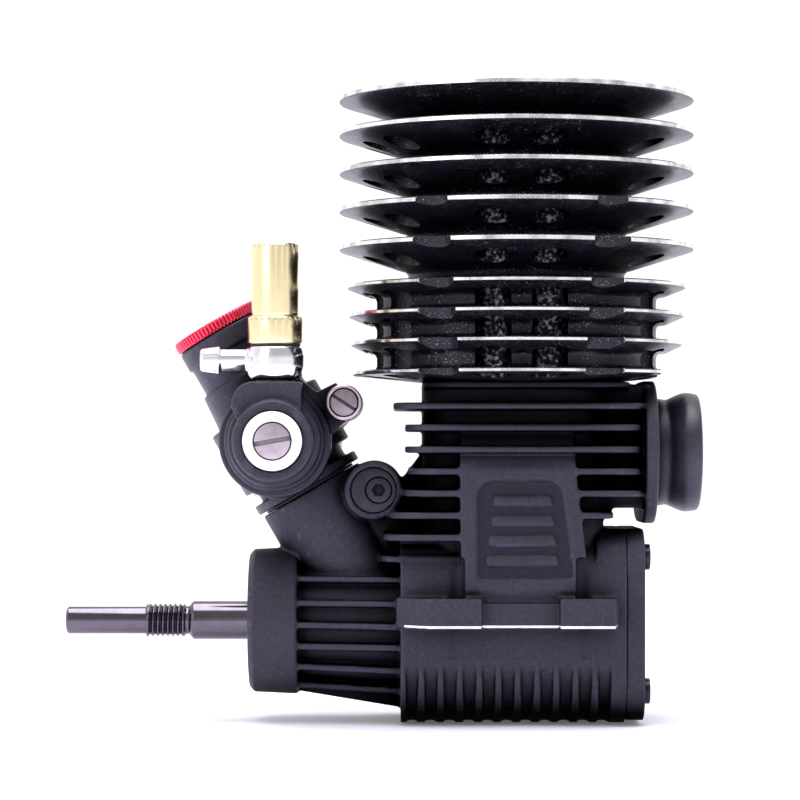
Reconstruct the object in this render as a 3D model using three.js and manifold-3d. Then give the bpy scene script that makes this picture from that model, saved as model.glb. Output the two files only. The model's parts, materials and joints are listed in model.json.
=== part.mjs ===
// Model glow engine: a rear-exhaust 3.5 cm3 two-stroke with a front crankshaft valve, a tall finned
// cooling head and a slide carburettor leaning forward over the shaft. Millimetres, +Z up.
// The origin is the centre of the crankshaft's drive end face, with the shaft's axis along X. The pieces are
// modelled about the point where the crankshaft's axis crosses the cylinder's, and moved together at the end.
import * as THREE from "three";
import { mergeVertices } from "three/addons/utils/BufferGeometryUtils.js";
import Module from "manifold-3d";

const wasm = await Module();
wasm.setup();

// ---------------------------------------------------------------- driving dimensions
const BORE = 16.3;
const STROKE = 16.8;
const THROW = STROKE / 2;
const ROD_LENGTH = 27; // crankpin axis to wrist pin axis
const CROWN_HEIGHT = 7; // wrist pin axis to piston crown
const DECK_Z = 43; // top of the crankcase, where the head sits
const PISTON_LENGTH = 11.8; // short enough for the skirt to clear the crank web at bottom dead centre
const WRIST_Z = THROW + ROD_LENGTH; // at top dead centre, the rest pose
const CROWN_Z = WRIST_Z + CROWN_HEIGHT;
const FIT = 0.05; // radial play of pieces that fit in one another
const SEAT = 0.02; // play between pieces that are fixed to one another

const SHAFT = {
  tip: -81.6,
  threadFront: -67.1,
  threadBack: -60.2,
  shoulder: -58.7,
  mainFront: -41.4,
  webFront: -10.6,
  webBack: -3.8,
  pilotR: 2.5,
  threadR: 3.05,
  undercutR: 2.6,
  frontR: 3.5,
  mainR: 7,
  webR: 13,
  gasR: 4.8,
};
const PIN = { r: 3, halfLength: 3.6 }; // crankpin

const CHAMBER = {
  front: -21,
  back: 18.9,
  boreR: 13.6,
  halfWidth: 17,
  bottom: -17.8,
  cornerR: 8.8,
};
const NOSE = { front: -48.3, back: -39.3, frontR: 12.95, backR: 13.3, chamfer: 0.9 };
const NECK = { frontR: 10.6, backR: 13.4, ribFrontR: 12.8, ribBackR: 15.9, ribThickness: 1.1 };
// Each neck rib's height at the nose and at the crank chamber, from the top rib down.
const NECK_RIBS = [
  [7.85, 7.85],
  [3.65, 3.6],
  [-0.2, -0.4],
  [-3.95, -4.15],
  [-7.65, -8.3],
  [-11.2, -12.1],
];
const FRONT_BEARING = { x: -47.9, width: 6, outerR: 9.5, boreR: 3.5, ballR: 1.55, balls: 7 };
const REAR_BEARING = { x: -17.2, width: 6, outerR: 13, boreR: 7, ballR: 1.75, balls: 10 };

const FIN = { top: 38.68, pitch: 3.86, thickness: 1.12, cornerR: 5 };
// Each cylinder fin's reach along X and its half depth along Y, from the top fin down.
const FIN_REACH = [
  [-22.3, 21.8, 19.8],
  [-20.2, 21.8, 19.8],
  [-20.2, 21.8, 19.8],
  [-19.6, 21.8, 19.8],
  [-20.5, 21.8, 19.8],
  [-23, 16.6, 19.8],
  [-24, 0, 19.8],
  [-24.6, 0, 16.4],
];
const DECK_BACK = 19.6;
const BARREL = { front: -17.1, back: 15.2, halfDepth: 15.5, cornerR: 6, bottom: 10 };
const LOWER_RIBS = { first: -17.36, pitch: 3.4, count: 11, width: 1.15, endWidth: 2 };

const LUG = { bottom: -0.35, top: 4.9, webTop: 4, webDepth: 20, depth: 22, holeR: 1.8, holeX: 11.4, holeY: 18.6 };
const BULGE = { depth: 19.8, panelDepth: 19.2, bottomZ: 3.9, topZ: 26.8, fadeZ: 37 };
const EXHAUST = { z: 30.5, end: 33, boreR: 8.2 };
const DUCT = { halfWidth: 11.8, bottom: 20.6 };
const EXHAUST_FLANGE = { front: 22.2, back: 24.5, halfWidth: 18.5, halfHeight: 12.75, cornerR: 12.5 };

const HEAD_BOLT = 11; // head screws stand at (+-11, +-11)
const COVER_BOLT = 11.9; // rear cover screws stand at (+-11.9, +-11.9)
const COVER = { back: 22.15, top: 16.9, bottom: -17.2, halfWidth: 16.6, cornerR: 6, spigotFront: 7.5 };

const HEAD = { bottom: 43.1, seatZ: 50, recessR: 12.2, centreR: 7.5 };
// "tops" are the heights of the fins' upper faces; each lower fin is "shrink" smaller than the one above.
const UPPER_FINS = { tops: [94.8, 88.55, 81.65, 74.8, 67.9], below: 60.8, r: 32.1, shrink: 0, rim: 0.9, coneDrop: 5, coreR: 19.6 };
const LOWER_FINS = { tops: [60.8, 55.65, 50.5, 45.15], below: null, r: 30.6, shrink: 0.3, rim: 0.8, coneDrop: 3, coreR: 25.3 };
// The bores' angles on the -Y side, from the front line; the +Y side mirrors them.
const HEAD_HOLES = { r: 3.25, circleR: 25, topZ: 89, angles: [-79, -56.4, -11.3, 11.3, 65.5] };
// The notches' round axis leans outward from its foot, so that they run out near the top.
const HEAD_NOTCHES = { r: 4.1, footR: 30.3, footZ: 45, leanDeg: 8.3, topZ: 76, angle: 29.4 };
const HEAD_FLAT = { x: 24.95, topZ: 45.6 }; // the lowest fin's flat over the exhaust

// The carburettor: its neck leans forward about the point where its flange meets the crankcase boss.
const CARB = { x: -37.6, z: 24.2, tiltDeg: 30, flangeR: 10.35, bossR: 9.8, spigotR: 7, spigotLength: 11, venturiR: 4.5 };
const SLIDE = { x: -43.3, z: 32.43, r: 5.6, innerY: -4, mouthY: 11.2, armY: 17 };
const NEEDLE = { x: -43.1, y: -16, seatZ: 42.95, holderZ: 49.55 }; // upright main needle over the slide's axis
const IDLE_SCREW = { x: -31, z: 39.3, front: -15.6 };
const RETAINER = { x: -25.8, z: 23.75, bossR: 5.25, halfLength: 12, r: 4.1, screwOffset: 0.9 };

// ---------------------------------------------------------------- materials
const finish = (color, roughness, metalness) => new THREE.MeshStandardMaterial({ color, roughness, metalness });
const MATERIALS = {
  castBlack: finish(0x2f2f33, 0.75, 0.3),
  headBlack: finish(0x0d0d10, 0.35, 0.6),
  aluminium: finish(0xb8b8bc, 0.35, 0.9),
  steel: finish(0x8c8480, 0.25, 1),
  darkSteel: finish(0x3c3a3c, 0.4, 0.9),
  brass: finish(0xd9a93a, 0.2, 1),
  bronze: finish(0xa97142, 0.35, 0.9),
  nickel: finish(0xdadbe0, 0.12, 1),
  redAnodised: finish(0xc4202c, 0.35, 0.7),
  composite: finish(0x26282b, 0.6, 0),
  nylon: finish(0xf2f2f0, 0.5, 0),
  rubber: finish(0x151515, 0.8, 0),
};

// ---------------------------------------------------------------- shape helpers
// A geometry whose axis is +Z, turned so that its axis is the one named.
function aim(axis, geometry) {
  if (axis === "x") geometry.rotateZ(Math.PI / 2).rotateY(Math.PI / 2);
  if (axis === "y") geometry.rotateX(-Math.PI / 2);
  return geometry;
}

// A closed geometry as a manifold-3d solid, turned right side out.
function solid(geometry) {
  const bare = geometry.clone();
  bare.deleteAttribute("normal");
  bare.deleteAttribute("uv");
  const merged = mergeVertices(bare, 1e-4);
  const vertProperties = merged.attributes.position.array;
  const triVerts = new Uint32Array(merged.index.array);
  let made = new wasm.Manifold(new wasm.Mesh({ numProp: 3, vertProperties, triVerts }));
  if (made.volume() < 0) {
    for (let i = 0; i < triVerts.length; i += 3) [triVerts[i + 1], triVerts[i + 2]] = [triVerts[i + 2], triVerts[i + 1]];
    made = new wasm.Manifold(new wasm.Mesh({ numProp: 3, vertProperties, triVerts }));
  }
  return made;
}

function joined(...solids) {
  return solids.reduce((whole, piece) => whole.add(piece));
}

function cut(whole, ...cutters) {
  return cutters.reduce((left, cutter) => left.subtract(cutter), whole);
}

// A round bar along an axis, from one coordinate to another, centred at the other two of "at".
function bar(axis, r, from, to, at = [0, 0, 0], segments = 20, endR = r) {
  const g = new THREE.CylinderGeometry(endR, r, to - from, segments).rotateX(Math.PI / 2);
  return solid(aim(axis, g.translate(0, 0, (from + to) / 2)).translate(...at));
}

// A turned piece: [radius, height] pairs spun about the axis.
function turned(axis, profile, at = [0, 0, 0], segments = 20) {
  const points = profile.map(([r, h]) => new THREE.Vector2(r, h));
  return solid(aim(axis, new THREE.LatheGeometry(points, segments).rotateX(Math.PI / 2)).translate(...at));
}

// A ring: the profile closes on itself.
function ring(axis, outerR, innerR, from, to, at = [0, 0, 0], segments = 20) {
  return turned(axis, [[innerR, from], [outerR, from], [outerR, to], [innerR, to], [innerR, from]], at, segments);
}

function block(x0, x1, y0, y1, z0, z1) {
  const g = new THREE.BoxGeometry(x1 - x0, y1 - y0, z1 - z0);
  return solid(g.translate((x0 + x1) / 2, (y0 + y1) / 2, (z0 + z1) / 2));
}

function outline(points) {
  return new THREE.Shape(points.map(([u, v]) => new THREE.Vector2(u, v)));
}

function roundedRect(u0, u1, v0, v1, r) {
  const s = new THREE.Shape();
  s.moveTo(u0 + r, v0).lineTo(u1 - r, v0).absarc(u1 - r, v0 + r, r, -Math.PI / 2, 0);
  s.lineTo(u1, v1 - r).absarc(u1 - r, v1 - r, r, 0, Math.PI / 2);
  s.lineTo(u0 + r, v1).absarc(u0 + r, v1 - r, r, Math.PI / 2, Math.PI);
  s.lineTo(u0, v0 + r).absarc(u0 + r, v0 + r, r, Math.PI, 1.5 * Math.PI);
  return s;
}

// A flat outline pushed along an axis. Its two coordinates are (Y, Z) for x, (X, Z) for y and (X, Y) for z.
function plate(axis, shape, from, to, curveSegments = 2) {
  const g = new THREE.ExtrudeGeometry(shape, { depth: to - from, bevelEnabled: false, curveSegments });
  if (axis === "x") return solid(g.translate(0, 0, from).rotateY(Math.PI / 2).rotateX(Math.PI / 2));
  if (axis === "y") return solid(g.translate(0, 0, -to).rotateX(Math.PI / 2));
  return solid(g.translate(0, 0, from));
}

// Lays a solid made about the carburettor's own upright neck over by the neck's tilt.
function leaned(made) {
  return made.rotate([0, -CARB.tiltDeg, 0]).translate([CARB.x, 0, CARB.z]);
}

function hexagon(r) {
  return outline(Array.from({ length: 6 }, (_, i) => [r * Math.cos((i * Math.PI) / 3), r * Math.sin((i * Math.PI) / 3)]));
}

const engine = new THREE.Group();
engine.position.x = -SHAFT.tip;

// Puts a finished solid in the scene as a named mesh.
function part(name, material, made) {
  const { vertProperties, triVerts, numProp } = made.getMesh();
  const corners = new Float32Array((vertProperties.length / numProp) * 3);
  for (let i = 0; i * 3 < corners.length; i++) corners.set(vertProperties.subarray(i * numProp, i * numProp + 3), i * 3);
  const geometry = new THREE.BufferGeometry();
  geometry.setAttribute("position", new THREE.BufferAttribute(corners, 3));
  geometry.setIndex(new THREE.BufferAttribute(new Uint32Array(triVerts), 1));
  geometry.computeVertexNormals();
  const mesh = new THREE.Mesh(geometry, material);
  mesh.name = name;
  engine.add(mesh);
}

// A cap screw: socket head at the +end of its axis, shank running from "tip" to "seat".
function capScrew(axis, at, { tip, seat, head, r, headR, socketR }, segments = 12) {
  const top = seat + head;
  const shank = bar(axis, r, Math.min(tip, seat), Math.max(tip, seat), at, 8);
  const cap = bar(axis, headR, Math.min(seat, top), Math.max(seat, top), at, segments);
  const socket = bar(axis, socketR, Math.min(top, top - head * 0.6), Math.max(top, top - head * 0.6) + 0.5, at, 6);
  return cut(shank.add(cap), socket);
}

// A slot across the end of a screw whose axis is Y, cut from "face" inward by "depth" (towards +Y).
function screwSlot(x, z, r, face, depth, width, turnDeg) {
  return block(-r, r, face - 1, face + depth, -width / 2, width / 2).rotate([0, turnDeg, 0]).translate([x, 0, z]);
}

// ---------------------------------------------------------------- crankcase
// The belly between the lower ribs: its sides draw in below the lugs to a round bottom.
function bellyOutline() {
  const w = CHAMBER.halfWidth;
  const bottom = CHAMBER.bottom + 0.3;
  const s = new THREE.Shape();
  s.moveTo(w + 2, 20).lineTo(-w - 2, 20).lineTo(-w - 0.3, -5.6).lineTo(1.6 - w, -10);
  s.quadraticCurveTo(3.6 - w, bottom, 10 - w, bottom).lineTo(w - 10, bottom).quadraticCurveTo(w - 3.6, bottom, w - 1.6, -10);
  s.lineTo(w + 0.3, -5.6);
  return s;
}

// The gaps beside and between the lower ribs, wide at the top so that each rib starts as a point.
function lowerRibGrooves() {
  const { first, pitch, count, width, endWidth } = LOWER_RIBS;
  const grooves = [];
  const groove = (from, to) => {
    const slant = Math.min(0.4, (width - 0.35) / 2);
    return plate("y", outline([[from - slant, -5], [to + slant, -5], [to, -13], [to, -20], [from, -20], [from, -13]]), -20, 20);
  };
  for (let i = 0; i + 1 < count; i++) grooves.push(groove(first + i * pitch + width / 2, first + (i + 1) * pitch - width / 2));
  grooves.push(groove(first - width / 2 - endWidth, first - width / 2));
  const last = first + (count - 1) * pitch + width / 2;
  grooves.push(groove(last, last + 0.6));
  const belly = plate("x", bellyOutline(), CHAMBER.front - 1, CHAMBER.back + 1, 3);
  return grooves.map((made) => made.subtract(belly));
}

// One level rib right across the cone-shaped neck, as deep as the round outline allows at its height.
function neckRib([noseZ, chamberZ]) {
  const front = NOSE.back - 0.1;
  const back = CHAMBER.front + 1;
  const t = NECK.ribThickness / 2;
  const frontY = Math.sqrt(NECK.ribFrontR ** 2 - noseZ ** 2);
  const backY = Math.sqrt(NECK.ribBackR ** 2 - chamberZ ** 2);
  const rib = plate("z", outline([[0, -frontY], [back - front, -backY], [back - front, backY], [0, frontY]]), -t, t);
  const slopeDeg = THREE.MathUtils.radToDeg(Math.atan2(noseZ - chamberZ, back - front));
  return rib.rotate([0, slopeDeg, 0]).translate([front, 0, noseZ]);
}

function keelRib() {
  const t = NECK.ribThickness / 2;
  const shape = outline([[NOSE.back - 0.1, 0], [CHAMBER.front + 1, 0], [CHAMBER.front + 1, -NECK.ribBackR], [NOSE.back - 0.1, -NECK.ribFrontR]]);
  return plate("y", shape, -t, t);
}

function crankcaseShell() {
  const { frontR, backR } = NECK;
  const nose = turned("x", [
    [0, NOSE.front],
    [NOSE.frontR - NOSE.chamfer, NOSE.front],
    [NOSE.frontR, NOSE.front + NOSE.chamfer],
    [NOSE.backR, NOSE.back - 0.4],
    [NOSE.backR - 0.6, NOSE.back],
    [frontR, NOSE.back],
    [backR, CHAMBER.front + 0.5],
    [0, CHAMBER.front + 0.5],
  ], [0, 0, 0], 24);
  const ribs = [...NECK_RIBS.map(neckRib), keelRib()];
  const w = CHAMBER.halfWidth;
  const chamber = plate("x", roundedRect(-w, w, CHAMBER.bottom, COVER.top, CHAMBER.cornerR), CHAMBER.front, CHAMBER.back, 3);
  const flange = plate("x", roundedRect(-COVER.halfWidth, COVER.halfWidth, COVER.bottom, COVER.top, COVER.cornerR), 13.5, CHAMBER.back);
  const { front, back, halfDepth, cornerR, bottom } = BARREL;
  const barrel = plate("z", roundedRect(front, back, -halfDepth, halfDepth, cornerR), bottom, DECK_Z, 1);
  const deck = plate("z", roundedRect(front, DECK_BACK, -17.5, 17.5, 6), DECK_Z - 1.1, DECK_Z, 1);
  const whole = joined(cut(chamber.add(flange), ...lowerRibGrooves()), nose, ...ribs, barrel, deck);
  const dressed = joined(whole, ...cylinderFins(), ...transferBulges(), exhaustStub(), carburettorBoss(), ...mountingLugs());
  return cut(dressed, ...bulgePanels());
}

function cylinderFins() {
  return FIN_REACH.map(([left, right, halfDepth], i) => {
    const z = FIN.top - i * FIN.pitch;
    const shape = roundedRect(left, right, -halfDepth, halfDepth, FIN.cornerR);
    const fin = plate("z", shape, z - FIN.thickness / 2, z + FIN.thickness / 2);
    return right > 0 ? fin : fin.subtract(block(-9, 1, -25, 25, 0, 40));
  });
}

// The swelling over each side transfer passage: a trapezoid that fades into the barrel above.
function transferBulges() {
  const { depth, bottomZ, topZ, fadeZ } = BULGE;
  const face = outline([[-10.4, bottomZ], [12.5, bottomZ], [9.8, topZ], [9.4, fadeZ], [-10.5, fadeZ], [-10.6, topZ]]);
  const above = outline([[-depth - 1, topZ + 0.8], [-depth, topZ + 0.8], [-15, fadeZ - 1], [-15, fadeZ + 1], [-depth - 1, fadeZ + 1]]);
  const below = outline([[-depth - 1, bottomZ - 1], [-depth + 1.6, bottomZ - 1], [-depth, bottomZ + 2.4], [-depth - 1, bottomZ + 2.4]]);
  const bulge = cut(plate("y", face, -depth, -10), plate("x", above, -15, 15), plate("x", below, -15, 15));
  return [bulge, bulge.mirror([0, 1, 0])];
}

// The sunk panel in each bulge's face.
function bulgePanels() {
  const { depth, panelDepth, topZ } = BULGE;
  const shape = outline([[-7.6, 8.2], [9.4, 8.2], [7.2, topZ - 2.6], [5.4, topZ - 1.2], [-5.8, topZ - 1.2], [-7.6, topZ - 3]]);
  const panel = plate("y", shape, -depth - 1, -panelDepth);
  return [panel, panel.mirror([0, 1, 0])];
}

function exhaustStub() {
  const { z, end } = EXHAUST;
  const { front, back, halfWidth, halfHeight, cornerR } = EXHAUST_FLANGE;
  const duct = block(8, front + 0.5, -DUCT.halfWidth, DUCT.halfWidth, DUCT.bottom, DECK_Z - 0.4);
  const flange = plate("x", roundedRect(-halfWidth, halfWidth, z - halfHeight, z + halfHeight, cornerR), front, back, 3);
  const stub = turned("x", [[0, 20], [9.7, back - 0.5], [9.6, 26.2], [10.1, 28], [10.75, 30.2], [10.5, end - 0.3], [10.2, end], [0, end]], [0, 0, z]);
  return joined(duct, flange, stub);
}

// The leaning boss that takes the carburettor's spigot, with its cross tube for the retainer.
function carburettorBoss() {
  const boss = leaned(bar("z", CARB.bossR, -24, -0.6));
  const web = plate("y", outline([[-26, 6], [-16, 6], [-16, 32], [-20.5, 26], [-26, 26]]), -7.5, 7.5);
  const tube = bar("y", RETAINER.bossR, -RETAINER.halfLength, RETAINER.halfLength, [RETAINER.x, 0, RETAINER.z], 16);
  return joined(boss, web, tube);
}

// The lugs' plates carry two thicker pads a side, and their lower faces lie in one machined plane.
function mountingLugs() {
  const { bottom, top, webTop, webDepth, depth } = LUG;
  const web = plate("z", outline([[-20.8, -12], [-20.8, -17.4], [-18.2, -webDepth], [17, -webDepth], [17, -12]]), bottom, webTop);
  const frontPad = plate("z", outline([[-21.8, -12], [-21.8, -17.4], [-16.2, -depth], [-6.8, -depth], [-6.8, -12]]), bottom, top);
  const backPad = block(6.9, 16.6, -depth, -12, bottom, top);
  const side = joined(web, frontPad, backPad);
  return [side, side.mirror([0, 1, 0])];
}

function crankcaseCavities() {
  const tunnel = bar("x", SHAFT.mainR + 0.15, -44, 0);
  const frontSeat = bar("x", FRONT_BEARING.outerR + SEAT, NOSE.front - 1, FRONT_BEARING.x + FRONT_BEARING.width + 0.05);
  const rearSeat = bar("x", REAR_BEARING.outerR + SEAT, REAR_BEARING.x - 0.05, 0);
  const chamber = bar("x", CHAMBER.boreR, -11, CHAMBER.back + 1);
  const sleeveBore = bar("z", 9.5 + SEAT, 0, DECK_Z + 1);
  const flangeSeat = bar("z", 11 + SEAT, DECK_Z - 2.1, DECK_Z + 1);
  const sideTransfers = block(-4.8, 4.8, -14.2, 14.2, 4, 30.5);
  const boostTransfer = block(-13, -5, -3.5, 3.5, 8, 30.5);
  const exhaust = bar("x", EXHAUST.boreR, 7, EXHAUST.end + 1, [0, 0, EXHAUST.z]);
  const spigotBore = leaned(bar("z", CARB.spigotR + 0.3, -CARB.spigotLength - 0.5, 1));
  const intake = leaned(bar("z", CARB.venturiR + 0.3, -26, 0, [0, 0, 0], 12));
  const flangeRoom = leaned(bar("z", CARB.flangeR + 0.35, -0.6, 8));
  const retainerBore = bar("y", RETAINER.r + SEAT, -20, 20, [RETAINER.x, 0, RETAINER.z], 12);
  return [tunnel, frontSeat, rearSeat, chamber, sleeveBore, flangeSeat, sideTransfers, boostTransfer, exhaust, spigotBore, intake, flangeRoom, retainerBore];
}

function crankcaseHoles() {
  const holes = [];
  for (const sx of [-1, 1]) {
    for (const sy of [-1, 1]) {
      holes.push(bar("z", 1.65, 30, DECK_Z + 1, [sx * HEAD_BOLT, sy * HEAD_BOLT, 0], 8));
      holes.push(bar("z", LUG.holeR, -6, 12, [sx * LUG.holeX, sy * LUG.holeY, 0], 10));
      holes.push(bar("x", 1.35, 12.5, CHAMBER.back + 1, [0, sx * COVER_BOLT, sy * COVER_BOLT], 8));
    }
  }
  return holes;
}

part("crankcase", MATERIALS.castBlack, cut(crankcaseShell(), ...crankcaseCavities(), ...crankcaseHoles()));

// ---------------------------------------------------------------- rear cover
function rearCover() {
  const { back, top, bottom, halfWidth, cornerR, spigotFront } = COVER;
  const front = CHAMBER.back + SEAT;
  const face = plate("x", roundedRect(-halfWidth, halfWidth, bottom, top, cornerR), front, back);
  const spigot = turned("x", [
    [0, 11], [9.5, 11], [11, spigotFront], [13.5, spigotFront], [13.5, 14.5], [12.5, 14.5], [12.5, 16], [13.5, 16],
    [13.5, front + 0.5], [0, front + 0.5],
  ]);
  const holes = [];
  for (const sy of [-1, 1]) {
    for (const sz of [-1, 1]) holes.push(bar("x", 1.6, front - 1, back + 1, [0, sy * COVER_BOLT, sz * COVER_BOLT], 8));
  }
  return cut(face.add(spigot), ...holes);
}

part("rear_cover", MATERIALS.castBlack, rearCover());
part("rear_cover_o_ring", MATERIALS.rubber, ring("x", 13.55, 12.55, 14.6, 15.9));
let coverScrews = 0;
for (const sy of [-1, 1]) {
  for (const sz of [-1, 1]) {
    coverScrews += 1;
    const size = { tip: 13, seat: COVER.back + SEAT, head: 1.1, r: 1.3, headR: 2.3, socketR: 1.1 };
    part(`rear_cover_screw_${coverScrews}`, MATERIALS.darkSteel, capScrew("x", [0, sy * COVER_BOLT, sz * COVER_BOLT], size));
  }
}

// ---------------------------------------------------------------- crankshaft and bearings
function crankshaft() {
  const s = SHAFT;
  const shaft = turned("x", [
    [0, s.tip], [s.pilotR - 0.4, s.tip], [s.pilotR, s.tip + 0.4], [s.pilotR, s.threadFront],
    [s.threadR, s.threadFront + 0.3], [s.threadR, s.threadBack], [s.undercutR, s.threadBack + 0.2],
    [s.undercutR, s.shoulder - 0.6], [s.frontR, s.shoulder], [s.frontR, s.mainFront],
    [s.mainR - 0.5, s.mainFront], [s.mainR, s.mainFront + 0.6], [s.mainR, s.webFront], [0, s.webFront],
  ]);
  const web = bar("x", s.webR, s.webFront - 0.1, s.webBack, [0, 0, 0], 24);
  const balance = [-1, 1].map((side) => block(s.webFront + 2.2, 0, side * 7.4 - 3, side * 7.4 + 3, 3.5, 14));
  const gasBore = bar("x", s.gasR, -36, 0, [0, 0, 0], 12);
  const window = block(-33, -22, -4.6, 4.6, 3, 8);
  return cut(shaft.add(web), ...balance, gasBore, window);
}

// A ball bearing's two races and its cage with the balls in it.
function bearing(name, { x, width, outerR, boreR, ballR, balls }) {
  const pitchR = (outerR + boreR) / 2;
  const gap = ballR + 0.4;
  const lip = 0.7;
  const middle = x + width / 2;
  const groove = ballR * 0.75;
  const outerProfile = [
    [outerR, x], [outerR, x + width], [pitchR + gap - lip, x + width], [pitchR + gap - lip, middle + groove],
    [pitchR + gap, middle], [pitchR + gap - lip, middle - groove], [pitchR + gap - lip, x], [outerR, x],
  ];
  const innerProfile = [
    [boreR + SEAT, x], [pitchR - gap + lip, x], [pitchR - gap + lip, middle - groove], [pitchR - gap, middle],
    [pitchR - gap + lip, middle + groove], [pitchR - gap + lip, x + width], [boreR + SEAT, x + width], [boreR + SEAT, x],
  ];
  part(`${name}_outer_race`, MATERIALS.steel, turned("x", outerProfile));
  part(`${name}_inner_race`, MATERIALS.steel, turned("x", innerProfile));
  const cage = ring("x", pitchR + 0.45, pitchR - 0.45, middle - 0.6, middle + 0.6, [0, 0, 0], 16);
  const loaded = [cage];
  for (let i = 0; i < balls; i++) {
    const a = (2 * Math.PI * i) / balls;
    const ball = new THREE.SphereGeometry(ballR, 6, 4).translate(middle, pitchR * Math.cos(a), pitchR * Math.sin(a));
    loaded.push(solid(ball));
  }
  part(`${name}_balls_and_cage`, MATERIALS.nickel, joined(...loaded));
}

part("crankshaft", MATERIALS.steel, crankshaft());
bearing("front_bearing", FRONT_BEARING);
bearing("rear_bearing", REAR_BEARING);
part("front_bearing_shield", MATERIALS.darkSteel, ring("x", 9.4, 4.2, NOSE.front + 0.1, FRONT_BEARING.x - 0.05));

// ---------------------------------------------------------------- piston and connecting rod
function piston() {
  const r = BORE / 2 - FIT;
  const skirt = CROWN_Z - PISTON_LENGTH;
  const shell = turned("z", [[0, CROWN_Z], [r, CROWN_Z], [r, skirt], [6.7, skirt], [6.7, CROWN_Z - 3], [0, CROWN_Z - 3]]);
  const bosses = [-1, 1].map((s) => block(Math.min(s * 3.8, s * 7.4), Math.max(s * 3.8, s * 7.4), -3, 3, WRIST_Z - 3, CROWN_Z - 2));
  const pinBore = bar("x", 2.1, -10, 10, [0, 0, WRIST_Z], 12);
  const clipSeats = [-1, 1].map((s) => bar("x", 2.5, Math.min(s * 6.9, s * 10), Math.max(s * 6.9, s * 10), [0, 0, WRIST_Z], 12));
  return cut(joined(shell, ...bosses), pinBore, ...clipSeats);
}

function connectingRod() {
  const bigEnd = bar("x", 5, -3.2, 3.2, [0, 0, THROW]);
  const smallEnd = bar("x", 3.7, -3.2, 3.2, [0, 0, WRIST_Z], 16);
  const shank = block(-1.6, 1.6, -2.1, 2.1, THROW, WRIST_Z);
  const whole = joined(bigEnd, smallEnd, shank);
  return cut(whole, bar("x", 3.7, -5, 5, [0, 0, THROW], 16), bar("x", 2.6, -5, 5, [0, 0, WRIST_Z], 12));
}

part("piston", MATERIALS.aluminium, piston());
part("wrist_pin", MATERIALS.steel, ring("x", 2.04, 1, -6.8, 6.8, [0, 0, WRIST_Z], 12));
part("wrist_pin_clip_1", MATERIALS.darkSteel, ring("x", 2.4, 1.7, -7.5, -6.95, [0, 0, WRIST_Z], 12));
part("wrist_pin_clip_2", MATERIALS.darkSteel, ring("x", 2.4, 1.7, 6.95, 7.5, [0, 0, WRIST_Z], 12));
part("connecting_rod", MATERIALS.aluminium, connectingRod());
part("big_end_bush", MATERIALS.bronze, ring("x", 3.65, PIN.r + FIT, -3.2, 3.2, [0, 0, THROW], 16));
part("small_end_bush", MATERIALS.bronze, ring("x", 2.55, 2.1, -3.2, 3.2, [0, 0, WRIST_Z], 12));
part("crankpin", MATERIALS.steel, ring("x", PIN.r, 1.2, -PIN.halfLength, PIN.halfLength, [0, 0, THROW], 16));

// ---------------------------------------------------------------- cylinder liner and combustion chamber
function cylinderLiner() {
  const profile = [[8.15, 14], [9.5, 14], [9.5, DECK_Z - 2], [11, DECK_Z - 2], [11, DECK_Z - 0.1], [8.15, DECK_Z - 0.1], [8.15, 14]];
  const exhaustPort = block(5, 12, -5, 5, 26, 31.8);
  const sidePorts = block(-4.2, 4.2, -12, 12, 26, 29.6);
  const boostPort = block(-12, -5, -3.2, 3.2, 26, 29.4);
  const rodRelief = block(-3.4, 3.4, -12, 12, 10, 17);
  return cut(turned("z", profile), exhaustPort, sidePorts, boostPort, rodRelief);
}

function combustionChamber() {
  const bottom = DECK_Z + 0.32;
  return turned("z", [
    [3.1, HEAD.seatZ - 2], [6.8, bottom + 0.9], [8, bottom], [12, bottom], [12, HEAD.seatZ - 0.3],
    [5.4, HEAD.seatZ - 0.3], [4.4, HEAD.seatZ - 1.2], [3.1, HEAD.seatZ - 1.2], [3.1, HEAD.seatZ - 2],
  ]);
}

function glowPlug() {
  const seat = HEAD.seatZ - 1.2;
  const body = turned("z", [
    [0, seat - 0.8], [2.4, seat - 0.8], [3, seat + 0.05], [3, seat + 0.4], [4.1, seat + 0.4], [4.1, seat + 4.4],
    [2, seat + 4.6], [2, seat + 5.4], [1.3, seat + 5.6], [1.3, seat + 7.6], [0, seat + 7.6],
  ], [0, 0, 0], 12);
  const hexSpace = plate("z", hexagon(4.1), seat + 0.39, seat + 4.5);
  const collar = ring("z", 6, 4.05, seat + 1.3, seat + 4.5, [0, 0, 0], 12);
  return body.subtract(collar.subtract(hexSpace));
}

part("cylinder_liner", MATERIALS.aluminium, cylinderLiner());
part("head_gasket", MATERIALS.bronze, ring("z", 11, 8.4, DECK_Z - 0.06, DECK_Z + 0.28));
part("combustion_chamber", MATERIALS.aluminium, combustionChamber());
part("glow_plug", MATERIALS.nickel, glowPlug());
part("glow_plug_washer", MATERIALS.bronze, ring("z", 4, 3.1, HEAD.seatZ - 1.15, HEAD.seatZ - 0.85, [0, 0, 0], 12));

// ---------------------------------------------------------------- cooling head
// The fins' outer profile, listed downwards: thin rims on undersides that cone in to the core.
function finProfile({ tops, below, r, shrink, rim, coneDrop, coreR }) {
  const points = [];
  tops.forEach((z, i) => {
    const reach = r - i * shrink;
    const next = tops[i + 1] ?? below;
    points.push([reach, z], [reach, z - rim]);
    if (next !== null) points.push([coreR, z - coneDrop], [coreR, next]);
  });
  return points;
}

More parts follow.
